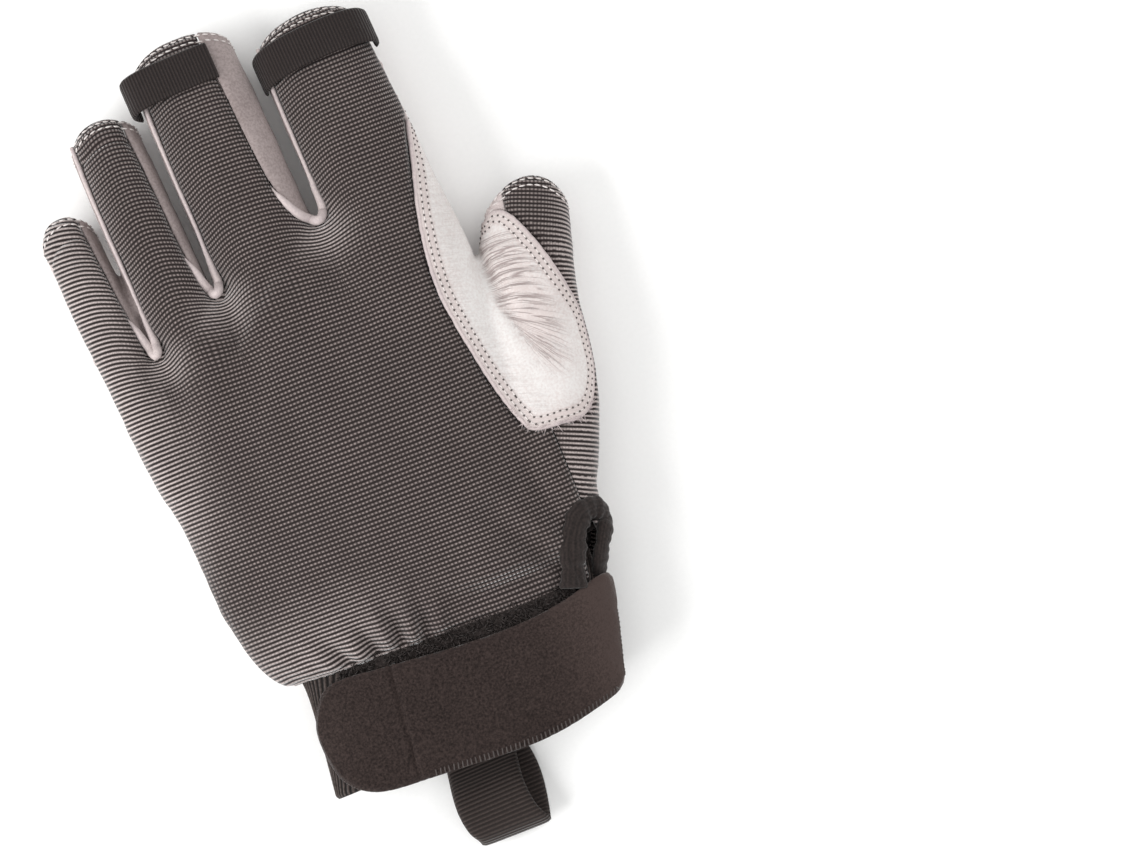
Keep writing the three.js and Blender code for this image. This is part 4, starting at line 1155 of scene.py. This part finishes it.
def newTree(name, sizes):
    # a Geometry Nodes tree that takes a curve or mesh, named sizes and a material
    tree = bpy.data.node_groups.new(name, "GeometryNodeTree")
    tree.interface.new_socket("Geometry", in_out="INPUT", socket_type="NodeSocketGeometry")
    for label, value in sizes.items():
        tree.interface.new_socket(label, in_out="INPUT", socket_type="NodeSocketFloat").default_value = value
    tree.interface.new_socket("Material", in_out="INPUT", socket_type="NodeSocketMaterial")
    tree.interface.new_socket("Geometry", in_out="OUTPUT", socket_type="NodeSocketGeometry")
    return tree, node(tree, "NodeGroupInput").outputs


def endTree(tree, geometry, given):
    real = node(tree, "GeometryNodeRealizeInstances", {"Geometry": geometry})
    dressed = node(tree, "GeometryNodeSetMaterial", {"Geometry": real, "Material": given["Material"]})
    node(tree, "NodeGroupOutput", {"Geometry": dressed})
    return tree


def stitchTree():
    # small beads along a curve: the thread between two needle holes, or dark beads painted as the holes'
    # shade
    sizes = {"Pitch": 0.002, "Long": 0.0016, "Radius": 0.0002, "Shift": 0.0, "Slant": 0.0}
    tree, given = newTree("Stitch row", sizes)
    spots = node(tree, "GeometryNodeCurveToPoints",
                 {"Curve": given["Geometry"], "Length": given["Pitch"]}, mode="LENGTH")
    turn = node(tree, "FunctionNodeAlignRotationToVector", {"Vector": spots.outputs["Tangent"]}, axis="Z")
    ball = node(tree, "GeometryNodeMeshUVSphere", {"Segments": 6, "Rings": 5, "Radius": 1.0})
    ball = node(tree, "GeometryNodeSetShadeSmooth", {"Geometry": ball})
    half = node(tree, "ShaderNodeMath", {0: given["Long"], 1: 0.5}, operation="MULTIPLY")
    size = node(tree, "ShaderNodeCombineXYZ", {0: given["Radius"], 1: given["Radius"], 2: half})
    place = node(tree, "ShaderNodeCombineXYZ", {2: given["Shift"]})
    lean = node(tree, "ShaderNodeCombineXYZ", {0: given["Slant"], 1: given["Slant"]})
    bead = node(tree, "GeometryNodeTransform",
                {"Geometry": ball, "Translation": place, "Rotation": lean, "Scale": size})
    row = node(tree, "GeometryNodeInstanceOnPoints", {"Points": spots, "Instance": bead, "Rotation": turn})
    return endTree(tree, row, given)


def edgingTree():
    # a lumpy rolled edge along a curve, as thick as the curve's own radius says
    tree, given = newTree("Rolled edge", {"Radius": 0.0009, "Unevenness": 0.0002, "Step": 0.0006})
    even = node(tree, "GeometryNodeResampleCurve",
                {"Curve": given["Geometry"], "Length": given["Step"]}, mode="LENGTH")
    ring = node(tree, "GeometryNodeCurvePrimitiveCircle", {"Resolution": 10, "Radius": 1.0})
    own = node(tree, "GeometryNodeInputRadius")
    taper = node(tree, "ShaderNodeMath", {0: own, 1: given["Radius"]}, operation="MULTIPLY")
    tube = node(tree, "GeometryNodeCurveToMesh",
                {"Curve": even, "Profile Curve": ring, "Scale": taper, "Fill Caps": True})
    lump = node(tree, "ShaderNodeTexNoise", {"Scale": 520.0, "Detail": 2.0})  # lumps of 2 mm
    middle = node(tree, "ShaderNodeMath", {0: lump, 1: 0.5}, operation="SUBTRACT")
    out = node(tree, "ShaderNodeMath", {0: middle, 1: given["Unevenness"]}, operation="MULTIPLY")
    away = node(tree, "GeometryNodeInputNormal")
    offset = node(tree, "ShaderNodeVectorMath", {0: away, "Scale": out}, operation="SCALE")
    moved = node(tree, "GeometryNodeSetPosition", {"Geometry": tube, "Offset": offset})
    return endTree(tree, node(tree, "GeometryNodeSetShadeSmooth", {"Geometry": moved}), given)


def grown(name, made, tree, values, replaces=None):
    # runs a node tree over a curve or mesh and keeps the result as a plain mesh piece
    modifier = made.modifiers.new("Nodes", "NODES")
    modifier.node_group = tree
    for item in tree.interface.items_tree:
        if item.in_out == "INPUT" and item.name in values:
            modifier[item.identifier] = values[item.name]
    mesh = evaluated(made)
    bpy.data.objects.remove(made)
    mesh.name = name
    finished(objectFrom(name, mesh), None, replaces)


def fibreTree():
    # short tapered fibres that stand off a cut edge, each turned and sized at random
    tree, given = newTree("Frayed fibres", {"Pitch": 0.0002, "Long": 0.0009, "Radius": 0.00007})
    spots = node(tree, "GeometryNodeCurveToPoints",
                 {"Curve": given["Geometry"], "Length": given["Pitch"]}, mode="LENGTH")
    fibre = node(tree, "GeometryNodeMeshCone",
                 {"Vertices": 4, "Radius Top": 0.15, "Radius Bottom": 1.0, "Depth": 1.0})
    size = node(tree, "ShaderNodeCombineXYZ", {0: given["Radius"], 1: given["Radius"], 2: given["Long"]})
    cone = node(tree, "GeometryNodeTransform", {"Geometry": fibre.outputs["Mesh"], "Scale": size})
    spin = node(tree, "FunctionNodeRandomValue",
                {"Min": (0, 0, 0), "Max": (6.28, 6.28, 6.28), "Seed": 4}, data_type="FLOAT_VECTOR")
    tall = node(tree, "FunctionNodeRandomValue",
                {"Min": (0.7, 0.7, 0.5), "Max": (1.3, 1.3, 1.6), "Seed": 8}, data_type="FLOAT_VECTOR")
    tuft = node(tree, "GeometryNodeInstanceOnPoints",
                {"Points": spots, "Instance": cone, "Rotation": spin, "Scale": tall})
    return endTree(tree, tuft, given)


fray = {"below": 46, "upTo": 65, "pitch": 0.14, "long": 1.9, "radius": 0.14}  # the patch's raw lower edge

stitches = stitchTree()
edging = edgingTree()
sewing = {  # in metres, as all that the trees are given
    "patch": {"Pitch": 0.0018, "Long": 0.0013, "Radius": 0.0002},
    # dark beads between the stitches, painted as the shade in the needle holes
    "hole": {"Pitch": 0.0018, "Long": 0.0006, "Radius": 0.00033, "Shift": 0.0009},
    "hem": {"Pitch": 0.0021, "Long": 0.0017, "Radius": 0.00024, "Slant": 0.12},
    "box": {"Pitch": 0.0024, "Long": 0.002, "Radius": 0.00024},
}
rolls = {
    "crotch": {"Radius": 0.001, "Unevenness": 0.0004, "Step": 0.0006, "Material": suede},
    "patch": {"Radius": 0.0006, "Unevenness": 0.0005, "Step": 0.0006, "Material": suede},
    "overlock": {"Radius": 0.0002, "Unevenness": 0.0001, "Step": 0.0004, "Material": darkThread},
}


def sewn(name, rows, kind, thread):
    grown(name, curveFrom(name, rows), stitches, {**sewing[kind], "Material": thread})


def rowsOn(panel, values, level, lift=0, keep=None):
    # lines on a panel where values has that level
    return contour(panel["points"] + panel["outward"] * lift, panel["tris"], values, level, keep)


patch = panels["web_patch"]
rows = [row for level in patchRows for row in rowsOn(patch, patch["edge"], level)]
sewn("web_patch_thread", rows, "patch", paleThread)
sewn("web_patch_needle_hole_shade", rows, "hole", needleHoleShade)

hemRows = (-1.0, -3.0)  # coverstitch round each open fingertip, from the rim
for name, spec in panelSpecs.items():
    if name != "web_patch":
        rim = panels[name]["here"]["rim"]
        rows = [row for level in hemRows for row in rowsOn(panels[name], rim, level, 0.1, rim > -30)]
        sewn(name + "_hem_thread", rows, "hem", paleThread)

# the rolled edge is thick round the crotch, thin up the right finger, and leaves the left one
lip = {"upFrom": 6, "upTo": 15, "thick": 1.3, "thin": 0.6}
lines, radii = [], []
x, y = skin[:, 0], skin[:, 1]
for name, left, right, *_ in fourchettes:
    crotchX, crotchY = crotchOf(left, right)
    middle = gapMiddle(left, right, y)
    keep = (here["back"] < 0.5) & (here["rim"] < -0.5) & ((x > middle - 0.2) | (y < crotchY + lip["upTo"]))
    onLeft = ramp(middle - x, 0, 0.5) * ramp(y - crotchY, lip["upFrom"], lip["upTo"] - 1)
    for line in contour(skin + normals * (0.05 - 1.6 * onLeft)[:, None], skinTris, fields[name], 0.3, keep):
        lines.append(line)
        up = line[:, 1] - crotchY
        nearLeft = line[:, 0] < np.interp(line[:, 1], [crotchY, 200], [crotchX, gapMiddle(left, right, 200)])
        size = lip["thick"] - (lip["thick"] - lip["thin"]) * ramp(up, 0, 14)
        radii.append(np.where(nearLeft, size * (1 - 0.98 * ramp(up, lip["upFrom"], lip["upTo"])), size))
grown("crotch_lips", curveFrom("crotch_lips", lines, radii), edging, rolls["crotch"])

lines = rowsOn(patch, patch["edge"], 0.35, -0.35, patch["here"]["back"] < 0.3)
grown("web_patch_edge", curveFrom("web_patch_edge", lines), edging, rolls["patch"])
frayed = [line[(line[:, 1] < fray["below"]) & (line[:, 0] < fray["upTo"])] for line in lines]
fibres = curveFrom("web_patch_fibres", [line for line in frayed if len(line) > 3])
grown("web_patch_fibres", fibres, fibreTree(), {
    "Pitch": fray["pitch"] * mm, "Long": fray["long"] * mm, "Radius": fray["radius"] * mm,
    "Material": suede})
print("glove: stitches")


def wristSkin(grow, count, steps):
    # an open tube round the wrist, grown outward by so many millimetres
    rings = cuffRings(grow, count, steps)
    i = np.arange(count)
    tris = []
    for first in range(0, (len(rings) - 1) * count, count):
        a, b = first + i, first + (i + 1) % count
        tris += [np.stack([a, b + count, b], 1), np.stack([a, a + count, b + count], 1)]
    points, tris = np.concatenate(rings), np.concatenate(tris)
    outward = ((points - points.mean(0)) * normalsOf(points, tris)).sum(1).mean() > 0
    return points, tris if outward else tris[:, ::-1]


def wristBand():
    points, tris = wristSkin(0, 520, 100)
    vent = np.maximum(inOutline(points, outlines["vent"]), describe(points)["back"])
    level = np.maximum.reduce([points[:, 1] - cuff["tuck"], -cuff["length"] - points[:, 1], -vent])
    points, tris = weld(*clip(points, tris, level), 0.1)
    x, _, z = (points - points.mean(0)).T
    around = np.arctan2(z * cuff["squash"], x) / (2 * np.pi) * cuff["around"]
    lean = math.radians(cuff["ribLean"])
    phase = (around * math.sin(lean) + points[:, 1] * math.cos(lean)) / cuff["ribPitch"]
    ridge = 0.5 + 0.5 * np.cos(2 * np.pi * phase)
    edge = edgeOf(points, tris)
    push = cuff["ribDepth"] * (ridge - 0.5) * ramp(edge, 0, cuff["ribsFrom"])
    push = push - cuff["edgeRound"] * (1 - ramp(edge, 0, cuff["edgeWidth"]))
    shaped = points + normalsOf(points, tris) * push[:, None]
    sheet("wrist_band", shaped, tris, cuff["wall"], {"ridge": ridge}, elastic, "wrist_cuff")


strap = {
    "base": 1.9, "thickness": 2.2, "edgeRound": 0.9, "edgeWidth": 1.6,
    "crease": -14.5, "creaseLean": 0.14, "creaseDeep": 0.9, "creaseWidth": 0.42,
    "swell": 0.25, "swellAt": 1.6, "swellWidth": 1.3,  # beside the crease
    "palerNap": 0.85, "palerNapFrom": 18, "palerNapTo": 54,  # x over which the nap gets paler
}
overlock = {  # whip stitches along the lower edge, from an x on, and round the cut end
    "pitch": 1.25, "across": 1.9, "lean": (0.3, 0.5, 0), "longest": 1.25,
    "lowerBelow": -34, "lowerFrom": -22, "endFrom": 45, "endBelow": -15,
}


def strapPiece():
    points, tris = wristSkin(strap["base"] + strap["thickness"], 420, 90)
    outline = inOutline(points, smoothOutline(strapOutline, 6, True))
    points, tris = weld(*clip(points, tris, np.maximum(outline, describe(points)["back"] + 1)), 0.1)
    x, y = points[:, 0], points[:, 1]
    out = normalsOf(points, tris)
    edge = edgeOf(points, tris)
    push = -strap["edgeRound"] * (1 - ramp(edge, 0, strap["edgeWidth"])) + 0.12 * waves(points, 16, 21)
    push = push + 0.05 * waves(points, 4, 22)
    slant = x - strap["crease"] - strap["creaseLean"] * (y + 20)
    push = push - strap["creaseDeep"] * np.exp(-(slant / strap["creaseWidth"])**2)
    push = push + strap["swell"] * np.exp(-((slant - strap["swellAt"]) / strap["swellWidth"])**2)
    # the nap is drawn paler towards the strap's right end and along its edges
    palerNap = strap["palerNap"] * ramp(x, strap["palerNapFrom"], strap["palerNapTo"])**1.5
    palerNap = palerNap + 0.12 * (1 - ramp(edge, 0, 1.2))
    sheet("strap", points + out * push[:, None], tris, strap["thickness"] - 0.2, {"palerNap": palerNap},
          felt, "closure_strap")
    where = (y < overlock["lowerBelow"]) & (x > overlock["lowerFrom"]) & (np.abs(slant) > 4)
    where = where | ((x > overlock["endFrom"]) & (y < overlock["endBelow"]))
    shaped = points + out * (push + 0.12)[:, None]
    inner = np.concatenate(contour(shaped, tris, edge, overlock["across"], where))
    bars = []
    for line in contour(shaped, tris, edge, 0.25, where):
        run = runOf(line)
        for d in np.arange(0.3, run[-1], overlock["pitch"]):
            start = np.array([np.interp(d, run, line[:, k]) for k in range(3)])
            finish = inner[np.linalg.norm(inner - start - overlock["lean"], axis=1).argmin()]
            if np.linalg.norm(finish - start) < overlock["across"] * overlock["longest"]:
                bars.append(np.array([start, (start + finish) / 2 + (0, 0, 0.1), finish]))
    grown("strap_overlock", curveFrom("strap_overlock", bars), edging, rolls["overlock"])


def pileTree():
    # loops of fine yarn standing on a cloth, each turned and sized at random
    tree, given = newTree("Pile loops", {"Per square metre": 1.0e6, "Loop height": 0.0013})
    spots = node(tree, "GeometryNodeDistributePointsOnFaces",
                 {"Mesh": given["Geometry"], "Density": given["Per square metre"], "Seed": 3})
    arc = node(tree, "GeometryNodeCurveArc",
               {"Resolution": 6, "Radius": 0.5, "Start Angle": 0.0, "Sweep Angle": math.pi})
    loop = node(tree, "GeometryNodeTransform", {"Geometry": arc, "Rotation": (math.pi / 2, 0, 0)})
    ring = node(tree, "GeometryNodeCurvePrimitiveCircle", {"Resolution": 3, "Radius": 0.12})
    strand = node(tree, "GeometryNodeCurveToMesh", {"Curve": loop, "Profile Curve": ring})
    spin = node(tree, "FunctionNodeRandomValue", {"Max": 6.28, "Seed": 5}, data_type="FLOAT")
    spinAxis = node(tree, "ShaderNodeCombineXYZ", {2: spin.outputs[1]})
    turned = node(tree, "FunctionNodeRotateRotation",
                  {"Rotation": spots.outputs["Rotation"], "Rotate By": spinAxis}, rotation_space="LOCAL")
    tall = node(tree, "FunctionNodeRandomValue",
                {"Min": (0.8, 0.8, 1.0), "Max": (1.5, 1.5, 2.4), "Seed": 9}, data_type="FLOAT_VECTOR")
    size = node(tree, "ShaderNodeVectorMath", {0: tall, "Scale": given["Loop height"]}, operation="SCALE")
    loops = node(tree, "GeometryNodeInstanceOnPoints",
                 {"Points": spots, "Instance": strand, "Rotation": turned, "Scale": size})
    both = node(tree, "GeometryNodeJoinGeometry")
    tree.links.new(loops.outputs[0], both.inputs[0])
    tree.links.new(given["Geometry"], both.inputs[0])
    return endTree(tree, both, given)


def pilePiece():
    points, tris = wristSkin(1.0, 240, 60)
    here = describe(points)
    outline = inOutline(points, smoothOutline(pileOutline, 2, True))
    level = np.maximum.reduce([outline, here["back"] + 1, -0.5 - here["hem"]])
    made = shellFrom("pile", *clip(points, tris, level))
    thicken(made, 0.6)
    grown("pile_strip", made, pileTree(), {"Material": pileCloth}, "pile_patch")


binding = {
    "path": [
        (41.3, -5.2), (43.6, 1.0), (46.8, 7.8), (50.8, 12.6), (55.0, 12.8),
        (56.6, 9.4), (54.4, 5.0), (51.4, 0.4), (49.0, -4.4), (47.4, -8),
    ],
    "wideLeft": 3.7, "wideRight": 2.6, "halfThick": 1.8, "sink": 0.3,
    "under": 5, "rightLeg": 45,  # how far the leg right of this x goes down under the strap
    "rounds": 14,
}


def bindingPiece():
    path = smoothRows(binding["path"], 140)
    tree = BVHTree.FromPolygons(skin.tolist(), skinTris.tolist())
    spots, ups = [], []
    for x, y in path:
        hit, way, _, _ = tree.ray_cast(Vector((x, max(y, -0.5), 80)), Vector((0, 0, -1)))
        spots.append((x, y, hit.z))
        ups.append(tuple(way))
    spots, ups = np.array(spots), unit(np.array(ups))
    spots[:, 2] -= binding["under"] * ramp(-spots[:, 1], 0.5, 5) * (spots[:, 0] > binding["rightLeg"])
    evened(spots, binding["rounds"])
    for _ in range(binding["rounds"]):
        ups = unit(evened(ups, 1))
    ahead = unit(np.gradient(spots, axis=0))
    sideways = unit(np.cross(ahead, ups))
    ups = np.cross(sideways, ahead)
    a = np.linspace(0, 2 * np.pi, 36, endpoint=False)
    rings = []
    for i, (c, s, u) in enumerate(zip(spots, sideways, ups)):
        share = i / (len(spots) - 1)
        pucker = 1 + 0.06 * math.sin(i * 0.8) + 0.09 * math.sin(i * 0.29 + 1)
        dent = np.exp(-((np.cos(a) - 0.4 * math.cos(i * 0.11)) / 0.12)**2)
        size = pucker * (1 - 0.2 * dent * (np.sin(a) > 0) * (share < 0.6))
        wide = np.interp(ramp(share, 0.25, 0.6), [0, 1], [binding["wideLeft"], binding["wideRight"]])
        ring = np.outer(np.cos(a) * wide * size, s) + np.outer(np.sin(a) * binding["halfThick"] * size, u)
        rings.append(c + u * binding["sink"] + ring)
    made = shellFrom("vent_binding_roll", np.concatenate(rings), loftFaces(len(rings), len(a), 0))
    ridge = 0.5 + 0.5 * np.cos(np.tile(a, len(rings)) * 14)
    setAttribute(made.data, "ridge", 0.35 + 0.4 * ridge)
    finished(made, bindingCloth, "vent_binding")


ventShadeSheet = {"beyond": 3.2, "clear": 1.7, "deep": 4.5, "below": 9}


def ventShadeSheetPiece():
    # a dark elastic sheet inside the opening, put there as painted shade for the glove's dark inside
    opening = inOutline(skin, outlines["vent"]) - ventShadeSheet["beyond"]
    data, tris = weld(*clip(bundle, skinTris, np.maximum(opening, here["back"] - ventShadeSheet["below"])))
    data, tris = largest(data, tris, 0.3)
    points, out = data[:, :3], unit(data[:, 3:6])
    push = -ventShadeSheet["clear"] - ventShadeSheet["deep"] * ramp(edgeOf(points, tris), 0.6, 3.4)
    ridge = 0.5 + 0.5 * np.cos(points[:, 0] * 3)
    shaped = points + out * push[:, None]
    sheet("vent_shade_sheet", shaped, tris, 0.6, {"ridge": ridge}, elastic)


wristBand()
ventShadeSheetPiece()
strapPiece()
pilePiece()
bindingPiece()
print("glove: wrist")


pullTabs = [  # name, finger, distance from the rim, start and finish angle, lift, lean
    ("index_pull_tab", "index", 1.8, 8, 172, 1.5, 0.45),
    ("middle_pull_tab", "middle", 2.4, 64, 176, 3.0, 2.4),
]
tape = {"width": 11.0, "thickness": 1.2}


def bandFrom(name, spots, widthWay, outWay, size, material, replaces, waviness):
    # a flat tape through spots, with rounded edges; weave x runs along it
    width, thickness = size
    across = np.linspace(-1, 1, 25)
    rise = np.sqrt(1 - np.abs(across)**8)
    x = np.concatenate([across, across[-2:0:-1]]) * width / 2
    z = np.concatenate([rise, -rise[-2:0:-1]]) * thickness / 2
    rings, weave = [], []
    for s, w, o, r in zip(spots, widthWay, outWay, runOf(spots)):
        rings.append(s + np.outer(x, w) + np.outer(z + waviness * math.sin(r / 3.1), o))
        weave.append(np.stack([np.full(len(x), r), x, x * 0], 1))
    made = shellFrom(name, np.concatenate(rings), loftFaces(len(rings), len(x), 0))
    setAttribute(made.data, "weave", np.concatenate(weave))
    finished(made, material, replaces)


def tabPiece(name, finger, fromRim, start, finish, lift, lean):
    # a tape over a fingertip, from one side to the other
    tube = fingers[finger]
    y = tube["centre"][-1, 1] - fromRim - tape["width"] / 2
    k = np.abs(tube["centre"][:, 1] - y).argmin()
    c, r, u, f = (tube[key][k] for key in ("centre", "right", "up", "ahead"))
    share = np.linspace(0, 1, 120)
    angle = np.radians(start + (finish - start) * share)
    off = 0.45 + tape["thickness"] / 2 + lift * np.sin(np.pi * share**lean)
    spots = c + np.outer((tube["wide"][k] + off) * squared(np.cos(angle)), r)
    spots = evened(spots + np.outer((tube["thick"][k] + off) * squared(np.sin(angle)), u), 6)
    across = np.tile(f, (len(spots), 1))
    out = unit(np.cross(unit(np.gradient(spots, axis=0)), across))
    if (out * (spots - c)).sum() < 0:
        out = -out
    size = (tape["width"], tape["thickness"])
    bandFrom(name + "_tape", spots, across, out, size, grosgrain, name, 0.03)


for row in pullTabs:
    tabPiece(*row)

loop = {
    "x": 0.5, "width": 20, "reach": 28, "opening": 7, "thickness": 1.2,
    "drift": 0.6, "bulge": 3.0, "skew": -0.03,  # the under layer bows out to the thumb side
    "bow": 2.4,  # and the upper one the other way
}
anchorStitch = {"inset": 1.6, "crossFrom": -4.6, "crossTo": -16.5, "boxTo": -24.4}


def loopPieces():
    t, end = loop["thickness"], -cuff["length"]
    under = cuff["lift"] - 0.3  # the webbing lies against the wrist band here
    high, low = under - t / 2, under - 1.5 * t
    tip, tall = end - loop["reach"] + t / 2, loop["opening"] + t
    path = smoothRows([
        (end + 5, low), (end, low), (end - 10, low), (tip + 7, low), (tip + 2.5, low + 0.6),
        (tip, low + tall * 0.5), (tip + 2.2, low + tall - 0.3), (tip + 7, low + tall),
        (tip + 14, low + tall * 0.8), (end - 6, high + 0.8), (end, high), (end + 5, high),
    ], 160)
    hang = np.clip((end - path[:, 0]) / loop["reach"], 0, 1)
    share = np.linspace(0, 1, len(path))
    x = loop["x"] + loop["drift"] * hang
    x = x + loop["bulge"] * np.sin(np.pi * hang**0.8) * (1 - ramp(share, 0.35, 0.6))
    x = x - loop["bow"] * np.sin(np.pi * hang**1.4) * ramp(share, 0.45, 0.6)
    spots = np.column_stack([x, path])
    turn = 0.3 * hang * (1 - 2 * ramp(share, 0.4, 0.6)) + np.exp(-((share - 0.5) / 0.12)**2)
    turn = loop["skew"] * turn
    sideways = np.stack([np.cos(turn), np.sin(turn), turn * 0], 1)
    out = unit(np.cross(unit(np.gradient(spots, axis=0)), sideways))
    size = (loop["width"], t)
    bandFrom("hang_loop_webbing", spots, sideways, out, size, webbing, "hang_loop", 0.05)
    y = np.linspace(end + 7, -3, 60)
    spots = np.column_stack([y * 0 + loop["x"], y, y * 0 + high])
    size = (loop["width"] + 1, t)
    bandFrom("loop_anchor_webbing", spots, np.tile((1.0, 0, 0), (60, 1)), np.tile((0, 0, -1.0), (60, 1)),
             size, webbing, "hang_loop_anchor", 0)
    side = size[0] / 2 - anchorStitch["inset"]
    a, b, z = loop["x"] - side, loop["x"] + side, under - t - 0.1
    top, foot, box = anchorStitch["crossFrom"], anchorStitch["crossTo"], anchorStitch["boxTo"]
    lines = [
        [(a, top), (b, top), (b, box), (a, box), (a, top)],
        [(a, foot), (b, foot)], [(a, top), (b, foot)], [(b, top), (a, foot)],
    ]
    sewn("anchor_box_stitches", [[(*p, z) for p in line] for line in lines], "box", darkThread)


loopPieces()
print("glove: tabs and loop")


view = {
    "photoWide": 307.8,          # millimetres across the photo's 1140 pixels
    "middle": (57.4, 35.1),      # what its centre looks at
    "lean": 23,                  # degrees the glove leans to the left
    "distance": 2.6, "levelOfFocus": 22,
}


lights = [  # name, place, size, power in watts
    ("left", (-1.3, -0.1, 0.85), 1.1, 27), ("right", (1.3, 0.2, 0.95), 1.4, 11),
    ("top", (0.1, 0.3, 2.2), 1.8, 8),
]


def setStage():
    centre = toMetres(np.array([*view["middle"], 0.0]))
    camera = bpy.data.cameras.new("camera")
    made = objectFrom("camera", camera)
    made.location = (centre[0], centre[1], view["distance"])
    made.rotation_euler = (0, 0, -math.radians(view["lean"]))
    camera.sensor_width = 36
    camera.lens = 36 * (view["distance"] - view["levelOfFocus"] * mm) / (view["photoWide"] * mm)
    camera.clip_end = 20
    bpy.context.scene.camera = made
    size = 3.0
    mesh = bpy.data.meshes.new("floor")
    corners = [(-size, -size, 0), (size, -size, 0), (size, size, 0), (-size, size, 0)]
    mesh.from_pydata(corners, [], [(0, 1, 2, 3)])
    floor = objectFrom("floor", mesh)
    material, tree, spot = newMaterial("Studio paper")  # matt white card with a tooth of 1.1 mm
    tooth = node(tree, "ShaderNodeTexNoise", {"Vector": spot, "Scale": 900, "Detail": 2})
    colour = node(tree, "ShaderNodeMix", {0: tooth, 6: "#fbfbfa", 7: "#f6f6f5"}, data_type="RGBA")
    floor.data.materials.append(surfaced(material, {"Base Color": colour, "Roughness": 0.9}))
    floor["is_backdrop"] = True
    world = bpy.data.worlds.new("studio")
    bpy.context.scene.world = world
    world.use_nodes = True
    sky = world.node_tree.nodes["Background"]
    sky.inputs["Color"].default_value = (1, 1, 1, 1)
    sky.inputs["Strength"].default_value = 0.66
    bpy.context.scene.view_settings.view_transform = "Standard"
    for name, place, wide, power in lights:
        lamp = bpy.data.lights.new(name, "AREA")
        lamp.size = wide
        lamp.energy = power
        lampObject = objectFrom(name, lamp)
        lampObject.location = place
        lampObject.rotation_euler = (-Vector(place)).to_track_quat("-Z", "Y").to_euler()


setStage()
sizes = {"cad": cadBox, "visual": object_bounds()}
sizes = {name: [list(map(float, corner)) for corner in box] for name, box in sizes.items()}
print("glove: done")
